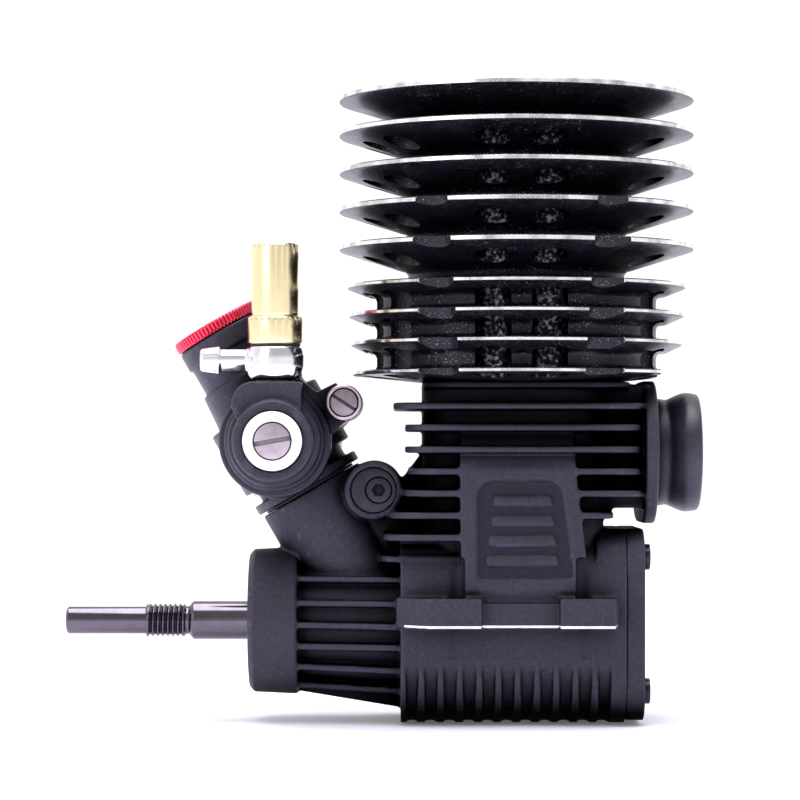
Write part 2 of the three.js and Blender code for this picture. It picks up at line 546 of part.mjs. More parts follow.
// A leaning round cutter over the rims, "angle" degrees round from the side's middle line.
function headNotch(side, angle) {
  const { r, footR, footZ, leanDeg, topZ } = HEAD_NOTCHES;
  const leaning = bar("z", r, -8, topZ - footZ + 6, [0, 0, 0], 10).rotate([side * -leanDeg, 0, 0]).translate([0, side * footR, footZ]);
  const flatTopped = leaning.subtract(block(-20, 20, -60, 60, topZ, topZ + 20));
  return flatTopped.rotate([0, 0, side * -angle]);
}

function coolingHead() {
  const profile = [
    [HEAD.centreR, UPPER_FINS.tops[0]], ...finProfile(UPPER_FINS), ...finProfile(LOWER_FINS),
    [17.4, HEAD.bottom], [HEAD.recessR, HEAD.bottom], [HEAD.recessR, HEAD.seatZ], [HEAD.centreR, HEAD.seatZ], [HEAD.centreR, UPPER_FINS.tops[0]],
  ];
  const cutters = [block(HEAD_FLAT.x, 40, -40, 40, 40, HEAD_FLAT.topZ)];
  for (const side of [-1, 1]) {
    for (const turn of [-1, 1]) cutters.push(headNotch(side, turn * HEAD_NOTCHES.angle));
    for (const angle of HEAD_HOLES.angles) {
      const a = THREE.MathUtils.degToRad(angle);
      const at = [HEAD_HOLES.circleR * Math.sin(a), side * HEAD_HOLES.circleR * Math.cos(a), 0];
      cutters.push(bar("z", HEAD_HOLES.r, 40, HEAD_HOLES.topZ, at, 6));
    }
    for (const sx of [-1, 1]) {
      cutters.push(bar("z", 1.9, 40, HEAD.seatZ + 1, [sx * HEAD_BOLT, side * HEAD_BOLT, 0], 8));
      cutters.push(bar("z", 3.3, HEAD.seatZ + 0.2, 100, [sx * HEAD_BOLT, side * HEAD_BOLT, 0], 12));
    }
  }
  return cut(turned("z", profile, [0, 0, 0], 28), ...cutters);
}

part("cooling_head", MATERIALS.headBlack, coolingHead());
let headScrews = 0;
for (const sx of [-1, 1]) {
  for (const sy of [-1, 1]) {
    headScrews += 1;
    const size = { tip: 33, seat: HEAD.seatZ + 0.25, head: 3.5, r: 1.6, headR: 3, socketR: 1.6 };
    part(`head_screw_${headScrews}`, MATERIALS.darkSteel, capScrew("z", [sx * HEAD_BOLT, sy * HEAD_BOLT, 0], size));
  }
}

// ---------------------------------------------------------------- carburettor
// The neck's stepped outside, in heights above the crankcase boss, leaning with the neck.
function carburettorNeck() {
  return leaned(turned("z", [
    [0, -CARB.spigotLength], [CARB.spigotR, -CARB.spigotLength], [CARB.spigotR, 0], [CARB.flangeR, 0], [CARB.flangeR, 1.7],
    [8.6, 1.7], [8.6, 4.2], [10.9, 4.2], [10.9, 16.5], [9, 16.8], [8.5, 23.4], [7.8, 23.4], [7.8, 28.6],
    [8.3, 28.6], [8.3, 32.2], [0, 32.2],
  ]));
}

function carburettorBody() {
  const at = [SLIDE.x, 0, SLIDE.z];
  const barrel = bar("y", 10, -13, SLIDE.mouthY, at);
  const frontTube = joined(bar("y", 8.1, -18.5, -12, at), bar("y", 7.1, -23.6, -18, at));
  const bossTop = NEEDLE.seatZ - 0.1;
  const needleBoss = plate("y", outline([
    [-50.6, 38], [-50.2, 40.6], [-49, 42.2], [-47.4, bossTop], [-38.4, bossTop], [-38.4, 35], [-48, 35],
  ]), -21.5, -10.5);
  const idleTube = bar("y", 3.2, IDLE_SCREW.front - 0.6, 6, [IDLE_SCREW.x, 0, IDLE_SCREW.z], 16);
  const idleWeb = plate("y", outline([[-40, 43.2], [-39, 43.4], [-35.9, 41.2], [-32.4, 42.2], [-29, 36.6], [-33.4, 33.6], [-36, 26], [-40, 26]]), -12, 5);
  const whole = joined(carburettorNeck(), barrel, frontTube, needleBoss, idleTube, idleWeb);
  return cut(
    whole,
    leaned(bar("z", CARB.venturiR, -20, 40, [0, 0, 0], 12)),
    leaned(bar("z", 7, 24, 40)),
    bar("y", SLIDE.r + 0.1, -9.3, 20, at),
    bar("y", 3.3, -30, -9, at, 16),
    bar("y", 5.3, -30, -22.9, at),
    bar("z", 2.45, NEEDLE.seatZ - 6, 60, [NEEDLE.x, NEEDLE.y, 0], 12),
    bar("y", 1.55, -40, 40, [IDLE_SCREW.x, 0, IDLE_SCREW.z], 8),
    bar("y", 2.6, -40, IDLE_SCREW.front + 3.5, [IDLE_SCREW.x, 0, IDLE_SCREW.z], 12),
    bar("y", RETAINER.r + 0.1, -20, 20, [RETAINER.x, 0, RETAINER.z], 12),
  );
}

part("carburettor_body", MATERIALS.composite, carburettorBody());
part("carburettor_o_ring", MATERIALS.rubber, leaned(ring("z", 8.9, 7.35, -0.55, -0.05)));
part("intake_ring", MATERIALS.redAnodised, leaned(turned("z", [
  [6.7, 25], [CARB.venturiR + 0.1, 24.3], [6.2, 34.4], [8.4, 34.4], [8.4, 32.4], [6.7, 32.4], [6.7, 25],
])));

function retainerHalf(side) {
  const at = [RETAINER.x, 0, RETAINER.z];
  const screwAt = [RETAINER.x + RETAINER.screwOffset, 0, RETAINER.z];
  const plug = side < 0 ? bar("y", RETAINER.r, -11.4, -1.5, at, 12) : bar("y", RETAINER.r, 1.5, 11.4, at, 12);
  return cut(
    plug,
    bar("y", 1.5, -20, 20, screwAt, 8),
    bar("y", 2.45, -20, -8.7, screwAt, 12),
    leaned(bar("z", CARB.spigotR + 0.35, -16, 4)),
  );
}

part("carburettor_retainer_near", MATERIALS.darkSteel, retainerHalf(-1));
part("carburettor_retainer_far", MATERIALS.darkSteel, retainerHalf(1));
part("retainer_screw", MATERIALS.darkSteel, capScrew("y", [RETAINER.x + RETAINER.screwOffset, 0, RETAINER.z], { tip: 10.5, seat: -8.75, head: -2.3, r: 1.42, headR: 2.3, socketR: 1.2 }));

// The throttle slide at idle: it all but closes the venturi, and its bore clears the metering needle.
function throttleSlide() {
  const at = [SLIDE.x, 0, SLIDE.z];
  const whole = joined(bar("y", SLIDE.r, SLIDE.innerY, SLIDE.armY - FIT, at), bar("y", 3, 9, SLIDE.armY + 4, at, 16));
  return cut(whole, bar("y", 1.8, -20, 8, at, 12), bar("y", 2.2, 15, 30, at, 12), bar("y", 0.7, 0, 30, at, 6));
}

function throttleArm() {
  const { x, z, armY } = SLIDE;
  const disc = bar("y", 11.3, armY, armY + 1.3, [x, 0, z], 24);
  const lobe = bar("y", 2.6, armY, armY + 1.3, [IDLE_SCREW.x, 0, IDLE_SCREW.z], 12);
  const reach = Math.hypot(IDLE_SCREW.x - x, IDLE_SCREW.z - z);
  const slopeDeg = THREE.MathUtils.radToDeg(Math.atan2(IDLE_SCREW.z - z, IDLE_SCREW.x - x));
  const web = plate("y", outline([[8, -4.5], [reach, -2.5], [reach, 2.5], [8, 4.5]]), armY, armY + 1.3);
  return cut(joined(disc, lobe, web.rotate([0, -slopeDeg, 0]).translate([x, 0, z])), bar("y", 3.03, armY - 1, armY + 3, [x, 0, z], 16), bar("y", 1.25, armY - 1, armY + 3, [x, 0, z - 7.5], 8));
}

// A ribbed rubber boot fixed round the body's mouth, with a lip that rides on the slide.
function dustBoot() {
  const inner = SLIDE.mouthY + FIT;
  const outer = SLIDE.armY - 0.4;
  const step = (outer - inner) / 4;
  const folds = [[8.9, inner], [9.6, inner + step], [7.3, inner + 2 * step], [8.6, inner + 3 * step], [6.7, outer]];
  const inside = folds.map(([r, y]) => [r - 0.85, y]).reverse();
  return turned("y", [...folds, ...inside, folds[0]], [SLIDE.x, 0, SLIDE.z], 16);
}

part("throttle_slide", MATERIALS.aluminium, throttleSlide());
part("throttle_arm", MATERIALS.nickel, throttleArm());
part("throttle_ball_stud", MATERIALS.steel, turned("y", [
  [0, 16.8], [1.2, 16.8], [1.2, 19.5], [1.25, 20.4], [2.5, 21.2], [2.9, 22.8], [2.5, 24.4], [1.4, 25.3], [0, 25.6],
], [SLIDE.x, 0, SLIDE.z - 7.5], 8));
part("low_speed_needle", MATERIALS.brass, cut(
  bar("y", 2, 16, SLIDE.armY + 3.4, [SLIDE.x, 0, SLIDE.z], 12),
  block(SLIDE.x - 3, SLIDE.x + 3, SLIDE.armY + 2.6, 30, SLIDE.z - 0.3, SLIDE.z + 0.3),
));
part("dust_boot", MATERIALS.rubber, dustBoot());

part("mid_needle_holder", MATERIALS.nylon, ring("y", 5.2, 3.4, -24.6, -23, [SLIDE.x, 0, SLIDE.z]));
part("mid_range_needle", MATERIALS.steel, cut(
  turned("y", [
    [0, -24.4], [3, -24.4], [3.2, -24.2], [3.2, -14], [1.5, -14], [1.5, -1], [0.5, 3], [0, 3],
  ], [SLIDE.x, 0, SLIDE.z], 12),
  screwSlot(SLIDE.x, SLIDE.z, 5, -24.4, 0.9, 0.85, -10),
));
part("idle_stop_screw", MATERIALS.steel, cut(
  joined(
    bar("y", 2.45, IDLE_SCREW.front, IDLE_SCREW.front + 3.3, [IDLE_SCREW.x, 0, IDLE_SCREW.z], 12),
    bar("y", 1.35, IDLE_SCREW.front + 3, SLIDE.armY - 0.1, [IDLE_SCREW.x, 0, IDLE_SCREW.z], 8),
  ),
  screwSlot(IDLE_SCREW.x, IDLE_SCREW.z, 4, IDLE_SCREW.front, 0.8, 0.6, 33),
));

// ---------------------------------------------------------------- fuel inlet and main needle
const NEEDLE_AT = [NEEDLE.x, NEEDLE.y, 0];

function fuelInletBanjo() {
  const z = NEEDLE.seatZ;
  const eye = turned("z", [
    [0, z + 0.25], [4, z + 0.25], [4.85, z + 1.2], [5.12, z + 2.8], [5.05, z + 4.8], [4.6, z + 6.25], [0, z + 6.25],
  ], NEEDLE_AT, 16);
  const nipple = turned("x", [
    [0, -56.3], [2, -56.3], [2.45, -52.8], [1.93, -52.7], [1.93, -43], [0, -43],
  ], [0, NEEDLE.y, z + 3.8], 16);
  const passage = bar("x", 1.1, -60, -43, [0, NEEDLE.y, z + 3.8], 8);
  return cut(eye.add(nipple), passage, bar("z", 2.45, z, z + 8, NEEDLE_AT, 12));
}

function needleValveHolder() {
  const z = NEEDLE.holderZ;
  const outside = turned("z", [
    [0, NEEDLE.seatZ - 5.5], [2.3, NEEDLE.seatZ - 5.5], [2.3, z], [4.6, z], [4.85, z + 0.3], [4.85, z + 4.6], [4.6, z + 4.9],
    [4.15, z + 4.9], [4.15, z + 17.4], [3.9, z + 17.7], [0, z + 17.7],
  ], NEEDLE_AT, 16);
  return cut(
    outside,
    bar("z", 3.3, z + 2, z + 20, NEEDLE_AT, 16),
    bar("z", 1.35, NEEDLE.seatZ - 8, z + 5, NEEDLE_AT, 8),
    bar("x", 0.9, NEEDLE.x - 5, NEEDLE.x + 5, [0, NEEDLE.y, NEEDLE.seatZ + 3.8], 6),
  );
}

function highSpeedNeedle() {
  const z = NEEDLE.holderZ;
  const body = turned("z", [
    [0, NEEDLE.seatZ - 4], [0.6, NEEDLE.seatZ + 1], [1.15, NEEDLE.seatZ + 2.5], [1.15, z + 2.2], [3.05, z + 2.2],
    [3.05, z + 15.4], [2.8, z + 15.7], [0, z + 15.7],
  ], NEEDLE_AT, 12);
  return body.subtract(block(NEEDLE.x - 4, NEEDLE.x + 4, NEEDLE.y - 0.35, NEEDLE.y + 0.35, z + 14.6, z + 20));
}

part("banjo_washer_lower", MATERIALS.bronze, ring("z", 3.4, 2.45, NEEDLE.seatZ - 0.05, NEEDLE.seatZ + 0.2, NEEDLE_AT, 16));
part("fuel_inlet_banjo", MATERIALS.nickel, fuelInletBanjo());
part("banjo_washer_upper", MATERIALS.rubber, ring("z", 4.45, 2.45, NEEDLE.seatZ + 6.28, NEEDLE.holderZ - 0.02, NEEDLE_AT, 16));
part("needle_valve_holder", MATERIALS.brass, needleValveHolder());
part("high_speed_needle", MATERIALS.brass, highSpeedNeedle());

export default engine;
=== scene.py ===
"""Looks for the model glow engine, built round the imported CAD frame.

Every piece is made in millimetres about the point where the crankshaft's axis crosses the cylinder's,
the same layout as the CAD, and is then moved to its CAD node's place and scaled to metres.
"""

import json
import math

import bmesh
import bpy
import numpy as np
from mathutils import Matrix, Vector


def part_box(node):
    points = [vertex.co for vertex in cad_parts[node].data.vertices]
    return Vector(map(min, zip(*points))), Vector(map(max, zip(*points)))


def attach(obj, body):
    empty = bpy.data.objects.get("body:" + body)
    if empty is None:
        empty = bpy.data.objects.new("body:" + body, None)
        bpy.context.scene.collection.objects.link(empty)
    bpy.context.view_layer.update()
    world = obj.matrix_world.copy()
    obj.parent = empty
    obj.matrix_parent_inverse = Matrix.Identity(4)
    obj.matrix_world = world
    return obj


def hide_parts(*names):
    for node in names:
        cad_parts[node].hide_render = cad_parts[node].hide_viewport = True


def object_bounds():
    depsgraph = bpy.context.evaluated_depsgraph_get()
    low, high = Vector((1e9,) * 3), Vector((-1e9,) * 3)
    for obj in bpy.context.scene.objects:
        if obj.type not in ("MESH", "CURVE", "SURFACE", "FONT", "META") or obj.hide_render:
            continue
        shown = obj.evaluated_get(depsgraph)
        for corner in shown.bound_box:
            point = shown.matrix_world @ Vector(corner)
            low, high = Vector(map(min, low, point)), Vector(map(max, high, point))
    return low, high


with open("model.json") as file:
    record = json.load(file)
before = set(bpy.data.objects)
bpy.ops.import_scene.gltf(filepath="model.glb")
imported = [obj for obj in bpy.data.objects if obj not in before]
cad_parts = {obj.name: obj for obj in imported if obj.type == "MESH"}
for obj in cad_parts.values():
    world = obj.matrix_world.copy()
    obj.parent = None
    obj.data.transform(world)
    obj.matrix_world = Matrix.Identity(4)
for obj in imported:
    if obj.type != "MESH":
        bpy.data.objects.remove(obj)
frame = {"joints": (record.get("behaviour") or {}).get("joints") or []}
CAD_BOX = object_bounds()

JOINTS = {joint["name"]: joint for joint in frame["joints"]}
TO_MM = 1000.0
CRANK_X = JOINTS["crank_spin"]["pos_m"][0] * TO_MM


def node_box(node):
    """A CAD node's lowest and highest corners, in millimetres about the crank's centre."""
    low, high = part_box(node)
    shift = Vector((CRANK_X, 0, 0))
    return low * TO_MM - shift, high * TO_MM - shift


def joint_at(name):
    """A joint's place, in millimetres about the crank's centre."""
    x, y, z = (c * TO_MM for c in JOINTS[name]["pos_m"])
    return x - CRANK_X, y, z


# ------------------------------------------------------------------ dimensions, in millimetres
FINE, MEDIUM, SMALL = 96, 64, 40  # segments in a turn
DECK_Z = 43.0
THROW = 8.4
WRIST_Z = THROW + 27.0
CROWN_Z = WRIST_Z + 7.0
SLIDE_X, _, SLIDE_Z = joint_at("mid_range_needle_turn")
NEEDLE_X, NEEDLE_Y, _ = joint_at("high_speed_needle_turn")
IDLE_X, _, IDLE_Z = joint_at("idle_stop_screw_turn")
SLIDE_AT = (SLIDE_X, 0, SLIDE_Z)
NEEDLE_AT = (NEEDLE_X, NEEDLE_Y, 0)
IDLE_AT = (IDLE_X, 0, IDLE_Z)
SEAT_Z = node_box("banjo_washer_lower")[0].z + 0.05
HOLDER_Z = node_box("banjo_washer_upper")[1].z + 0.02
CARB_X, CARB_Z, CARB_TILT = -37.6, 24.2, math.radians(30)
RETAINER_X, RETAINER_Z = -25.8, 23.75
RETAINER_AT = (RETAINER_X, 0, RETAINER_Z)
HEAD_BOLT = 11.0
COVER_BOLT = 11.9
EXHAUST_Z = 30.5


# ------------------------------------------------------------------ mesh helpers
def mesh_object(name, verts, faces):
    mesh = bpy.data.meshes.new(name)
    mesh.from_pydata([tuple(v) for v in verts], [], faces)
    bm = bmesh.new()
    bm.from_mesh(mesh)
    bmesh.ops.recalc_face_normals(bm, faces=bm.faces)
    bm.to_mesh(mesh)
    bm.free()
    obj = bpy.data.objects.new(name, mesh)
    bpy.context.scene.collection.objects.link(obj)
    return obj


AIM = {
    "x": Matrix(((0, 0, 1), (1, 0, 0), (0, 1, 0))).to_4x4(),
    "y": Matrix(((1, 0, 0), (0, 0, 1), (0, -1, 0))).to_4x4(),
    "z": Matrix.Identity(4),
}


def placed(obj, axis, at):
    obj.data.transform(Matrix.Translation(Vector(at)) @ AIM[axis])
    return obj


def turned(axis, profile, at=(0, 0, 0), segments=MEDIUM, wobble=None):
    """A profile of (radius, height) pairs spun about an axis. wobble(angle, height) adds to the radius."""
    closed = profile[0] == profile[-1]
    points = profile[:-1] if closed else profile
    verts, rings = [], []
    for r, h in points:
        if r < 1e-9:
            rings.append([len(verts)] * segments)
            verts.append((0.0, 0.0, h))
            continue
        rings.append(list(range(len(verts), len(verts) + segments)))
        for k in range(segments):
            a = 2 * math.pi * k / segments
            rr = r + (wobble(a, h) if wobble else 0.0)
            verts.append((rr * math.cos(a), rr * math.sin(a), h))
    faces = []
    pairs = list(zip(rings, rings[1:])) + ([(rings[-1], rings[0])] if closed else [])
    for low, high in pairs:
        for k in range(segments):
            n = (k + 1) % segments
            corners = [low[k], low[n], high[n], high[k]]
            face = [c for i, c in enumerate(corners) if c != corners[i - 1]]
            if len(face) > 2:
                faces.append(face)
    return placed(mesh_object("turned", verts, faces), axis, at)


def corner_curve(before, here, after, radius, steps):
    """Points of a small curve that takes the place of the corner at "here"."""
    b, p, a = (np.array(point, float) for point in (before, here, after))
    to_b, to_a = np.linalg.norm(b - p), np.linalg.norm(a - p)
    reach = min(radius, 0.45 * to_b, 0.45 * to_a)
    start, end = p + (b - p) / to_b * reach, p + (a - p) / to_a * reach
    out = []
    for k in range(steps + 1):
        t = k / steps
        u, v = (1 - t) ** 2 * start + 2 * t * (1 - t) * p + t * t * end
        out.append((float(u), float(v)))
    return out


def softened(profile, radius, steps=3):
    """The profile with each inner corner replaced by a small curve."""
    out = [profile[0]]
    for before, here, after in zip(profile, profile[1:], profile[2:]):
        out += [(max(r, 0.0), h) for r, h in corner_curve(before, here, after, radius, steps)]
    return out + [profile[-1]]


def lathed(axis, profile, edge, at=(0, 0, 0), segments=MEDIUM):
    """A turned piece with its profile's corners softened."""
    return turned(axis, softened(profile, edge), at, segments)


def bar(axis, r, low, high, at=(0, 0, 0), segments=MEDIUM):
    low, high = min(low, high), max(low, high)
    return turned(axis, [(0, low), (r, low), (r, high), (0, high)], at, segments)


def soft_bar(axis, r, low, high, edge, at, segments=MEDIUM):
    return lathed(axis, [(0, low), (r, low), (r, high), (0, high)], edge, at, segments)


def ring(axis, outer, inner, low, high, at=(0, 0, 0), segments=MEDIUM, edge=0.08):
    middle = (inner, (low + high) / 2)
    path = [middle, (inner, low), (outer, low), (outer, high), (inner, high), middle]
    return lathed(axis, path, edge, at, segments)


def block(x0, x1, y0, y1, z0, z1):
    corners = [(x, y, z) for x in (x0, x1) for y in (y0, y1) for z in (z0, z1)]
    faces = [(0, 1, 3, 2), (4, 6, 7, 5), (0, 4, 5, 1), (2, 3, 7, 6), (0, 2, 6, 4), (1, 5, 7, 3)]
    return mesh_object("block", corners, faces)


PLATE_AXES = {
    "x": lambda u, v, w: (w, u, v),
    "y": lambda u, v, w: (u, w, v),
    "z": lambda u, v, w: (u, v, w),
}


def plate(axis, outline, low, high):
    """A flat outline pushed along an axis. Its coordinates are (Y, Z) for x, (X, Z) for y, (X, Y) for z."""
    at = PLATE_AXES[axis]
    n = len(outline)
    verts = [at(u, v, low) for u, v in outline] + [at(u, v, high) for u, v in outline]
    faces = [list(range(n)), list(range(2 * n - 1, n - 1, -1))]
    faces += [[i, (i + 1) % n, n + (i + 1) % n, n + i] for i in range(n)]
    return mesh_object("plate", verts, faces)


def arc(cu, cv, ru, rv, start, end, steps=12):
    angles = [math.radians(start + (end - start) * k / steps) for k in range(steps + 1)]
    return [(cu + ru * math.cos(a), cv + rv * math.sin(a)) for a in angles]


def rounded_rect(u0, u1, v0, v1, r, steps=10):
    return (
        arc(u1 - r, v0 + r, r, r, -90, 0, steps)
        + arc(u1 - r, v1 - r, r, r, 0, 90, steps)
        + arc(u0 + r, v1 - r, r, r, 90, 180, steps)
        + arc(u0 + r, v0 + r, r, r, 180, 270, steps)
    )


def rounded_polygon(points, radius, steps=5):
    out = []
    for before, here, after in zip(points[-1:] + points[:-1], points, points[1:] + points[:1]):
        out += corner_curve(before, here, after, radius, steps)
    return out


def mirrored(obj):
    """A copy of obj on the other side of the plane Y = 0."""
    mesh = obj.data.copy()
    mesh.transform(Matrix.Diagonal((1, -1, 1, 1)))
    mesh.flip_normals()
    copy = bpy.data.objects.new("mirrored", mesh)
    bpy.context.scene.collection.objects.link(copy)
    return copy


def leaned(obj):
    """Lays a piece made about the carburettor's upright neck over by the neck's tilt."""
    turn = Matrix.Rotation(-CARB_TILT, 4, "Y")
    obj.data.transform(Matrix.Translation(Vector((CARB_X, 0, CARB_Z))) @ turn)
    return obj


def applied(obj):
    """Replaces obj's mesh by what its modifiers make of it."""
    bpy.context.view_layer.update()
    evaluated = obj.evaluated_get(bpy.context.evaluated_depsgraph_get())
    mesh = bpy.data.meshes.new_from_object(evaluated)
    obj.modifiers.clear()
    obj.data = mesh
    return obj


def combined(base, others, operation):
    for other in others:
        modifier = base.modifiers.new("combine", "BOOLEAN")
        modifier.object, modifier.operation, modifier.solver = other, operation, "MANIFOLD"
    applied(base)
    for other in others:
        bpy.data.objects.remove(other)
    return base


def joined(base, *others):
    return combined(base, others, "UNION")


def cut(base, *cutters):
    return combined(base, cutters, "DIFFERENCE")


def moulded(obj, voxel, rounds, keep=1.0):
    """Rebuilds a solid on a fine grid and relaxes it, so that its corners get a casting's small radii."""
    remesh = obj.modifiers.new("remesh", "REMESH")
    remesh.mode, remesh.voxel_size, remesh.adaptivity = "VOXEL", voxel, 0.0
    smooth = obj.modifiers.new("relax", "SMOOTH")
    smooth.factor, smooth.iterations = 0.5, rounds
    if keep < 1.0:
        fewer = obj.modifiers.new("fewer", "DECIMATE")
        fewer.ratio = keep
    applied(obj)
    for polygon in obj.data.polygons:
        polygon.use_smooth = True
    return obj


def cap_screw(axis, at, tip, seat, head, r, head_r, socket_r):
    """A socket cap screw with its head at the +end of its axis; head is negative for the other way."""
    top = seat + head
    sign = 1 if head > 0 else -1
    outline = [(0, tip), (r, tip), (r, seat), (head_r, seat), (head_r, top), (0, top)]
    body = lathed(axis, outline, 0.22, at, SMALL)
    socket = bar(axis, socket_r, top - sign * abs(head) * 0.6, top + sign, at, 6)
    return cut(body, socket)


def slot_cutter(x, z, r, face, depth, width, turn_degrees):
    obj = block(-r, r, face - 1, face + depth, -width / 2, width / 2)
    obj.data.transform(Matrix.Translation((x, 0, z)) @ Matrix.Rotation(math.radians(turn_degrees), 4, "Y"))
    return obj


# ------------------------------------------------------------------ materials
def tree_of(name):
    material = bpy.data.materials.new(name)
    material.use_nodes = True
    tree = material.node_tree
    return material, tree, tree.nodes["Principled BSDF"]


def feed(node, values):
    """Sets a node's inputs, by name or number, from plain values or from other nodes' outputs."""
    for key, value in values.items():
        if isinstance(value, bpy.types.NodeSocket):
            node.id_data.links.new(value, node.inputs[key])
        else:
            node.inputs[key].default_value = value


def add(tree, kind, inputs, **settings):
    """A new node's first output."""
    node = tree.nodes.new(kind)
    for key, value in settings.items():
        setattr(node, key, value)
    feed(node, inputs)
    return node.outputs[0]


def millimetres(tree):
    """Object coordinates in millimetres."""
    where = tree.nodes.new("ShaderNodeTexCoord").outputs["Object"]
    return add(tree, "ShaderNodeVectorMath", {0: where, "Scale": TO_MM}, operation="SCALE")


def noise(tree, vector, scale, detail=3.0, roughness=0.55):
    inputs = {"Scale": scale, "Detail": detail, "Roughness": roughness, "Vector": vector}
    return add(tree, "ShaderNodeTexNoise", inputs)


def ramp(tree, value, stops):
    node = tree.nodes.new("ShaderNodeValToRGB")
    elements = node.color_ramp.elements
    for i, (place, colour) in enumerate(stops):
        element = elements[i] if i < 2 else elements.new(place)
        element.position = place
        element.color = (*colour, 1.0)
    feed(node, {"Fac": value})
    return node.outputs["Color"]


def grey(v):
    return (v, v, v)


def mixed(tree, factor, a, b):
    node = tree.nodes.new("ShaderNodeMix")
    node.data_type = "RGBA"
    feed(node, {"Factor": factor})
    for name, value in (("A", a), ("B", b)):
        place = [i for i, s in enumerate(node.inputs) if s.name == name and s.type == "RGBA"][0]
        feed(node, {place: (*value, 1.0) if isinstance(value, tuple) else value})
    return [s for s in node.outputs if s.type == "RGBA"][0]


def bumped(tree, shader, height, distance, strength=1.0, edge=0.0):
    inputs = {"Strength": strength, "Distance": distance / TO_MM, "Height": height}
    if edge:
        inputs["Normal"] = add(tree, "ShaderNodeBevel", {"Radius": edge / TO_MM}, samples=4)
    feed(shader, {"Normal": add(tree, "ShaderNodeBump", inputs)})


def turned_lines(tree, vector, axis, pitch):
    """Fine tool marks of a lathe: noise that changes along the axis and hardly at all round it."""
    squeeze = {"x": (1, 0.02, 0.02), "y": (0.02, 1, 0.02), "z": (0.02, 0.02, 1)}[axis]
    stretched = add(tree, "ShaderNodeMapping", {"Scale": squeeze, "Vector": vector})
    return noise(tree, stretched, 1.0 / pitch, 2.0)


def painted_gap_shade(tree, distance, low, high):
    """Painted shade: a factor that is 1 on open faces and falls to nearly 0 in gaps narrower than the
    distance (in millimetres), for darkening colour and reflections there.
    """
    node = tree.nodes.new("ShaderNodeAmbientOcclusion")
    node.samples = 6
    feed(node, {"Distance": distance / TO_MM})
    return ramp(tree, node.outputs["AO"], [(low, grey(0.02)), (high, grey(1))])


def times(tree, a, b):
    return add(tree, "ShaderNodeVectorMath", {0: a, 1: b}, operation="MULTIPLY")


def scaled(tree, value, factor):
    return add(tree, "ShaderNodeMath", {0: value, 1: factor}, operation="MULTIPLY")


def tinted(colour, factor):
    return tuple(min(1.0, c * factor) for c in colour)


def cast_material(name, colour, grain, rough, corner_lift, gloss):
    """A blasted casting or a moulding: fine grain, cloudy patches, lighter sharp corners and painted shade in
    gaps.
    """
    material, tree, shader = tree_of(name)
    mm = millimetres(tree)
    fine = noise(tree, mm, 1.0 / grain, 4.0, 0.6)
    patches = noise(tree, mm, 0.09, 3.0)
    cloud = ramp(tree, patches, [(0.35, grey(0)), (0.68, grey(1))])
    base = mixed(tree, cloud, tinted(colour, 0.85), tinted(colour, 1.15))
    speck = ramp(tree, fine, [(0.55, grey(0)), (0.7, grey(1))])
    base = mixed(tree, speck, base, tinted(colour, 2.6))
    blotch = ramp(tree, noise(tree, mm, 1.3, 3.0), [(0.42, grey(0.7)), (0.62, grey(1))])
    pointed = tree.nodes.new("ShaderNodeNewGeometry").outputs["Pointiness"]
    lighter_corners = ramp(tree, pointed, [(0.515, grey(0)), (0.6, grey(corner_lift))])
    base = mixed(tree, lighter_corners, times(tree, base, blotch), tinted(colour, 2.4))
    # Painted shade: darkens the colour and dims the reflections in gaps narrower than 9 mm.
    painted_shade_factor = painted_gap_shade(tree, 9.0, 0.34, 0.92)
    feed(shader, {
        "Base Color": times(tree, base, painted_shade_factor),
        "Roughness": ramp(tree, patches, [(0.3, grey(rough - 0.06)), (0.7, grey(rough + 0.06))]),
        "Specular IOR Level": scaled(tree, painted_shade_factor, gloss),
        "Specular Tint": (0.93, 0.9, 1.0, 1.0),
    })
    bumped(tree, shader, fine, grain * 0.4, 0.8)
    return material


def metal_material(name, colour, rough, axis, pitch=0.12, depth=0.004, stain=0.12, gap=1.2):
    """Turned metal: tool lines along one axis, a little staining, painted shade that darkens the colour in
    gaps and sockets, and softened edges.
    """
    material, tree, shader = tree_of(name)
    mm = millimetres(tree)
    lines = turned_lines(tree, mm, axis, pitch)
    cloud = ramp(tree, noise(tree, mm, 0.35, 4.0), [(0.4, grey(0)), (0.72, grey(1))])
    base = mixed(tree, cloud, colour, tinted(colour, 1 - 2 * stain))
    feed(shader, {
        # Painted shade: the colour darkens in gaps and sockets.
        "Base Color": times(tree, base, painted_gap_shade(tree, gap, 0.2, 0.7)),
        "Metallic": 1.0,
        "Roughness": ramp(tree, lines, [(0.3, grey(rough * 0.75)), (0.7, grey(rough * 1.3))]),
    })
    bumped(tree, shader, lines, depth, 0.6, 0.1)
    return material


def head_material():
    """Gloss black anodising over fine turning marks, with a scatter of bright dust in clusters."""
    material, tree, shader = tree_of("head_black_anodised")
    mm = millimetres(tree)
    specks = noise(tree, mm, 3.6, 1.0, 0.4)
    clusters = noise(tree, mm, 0.16, 2.0)
    spread = add(tree, "ShaderNodeMath", {0: clusters, 1: 0.18, 2: specks}, operation="MULTIPLY_ADD")
    dust = ramp(tree, spread, [(0.77, grey(0)), (0.82, grey(1))])
    cloud = noise(tree, mm, 0.25, 3.0)
    feed(shader, {
        "Base Color": mixed(tree, dust, (0.0028, 0.0025, 0.0055), (0.22, 0.215, 0.25)),
        "Roughness": ramp(tree, cloud, [(0.3, grey(0.27)), (0.7, grey(0.38))]),
        # Painted shade: reflections are dimmed in the narrow gaps between the fins.
        "Specular IOR Level": scaled(tree, painted_gap_shade(tree, 4.0, 0.25, 0.85), 0.36),
        "Specular Tint": (0.94, 0.92, 1.0, 1.0),
    })
    bumped(tree, shader, turned_lines(tree, mm, "z", 0.1), 0.006, 0.5, 0.08)
    return material


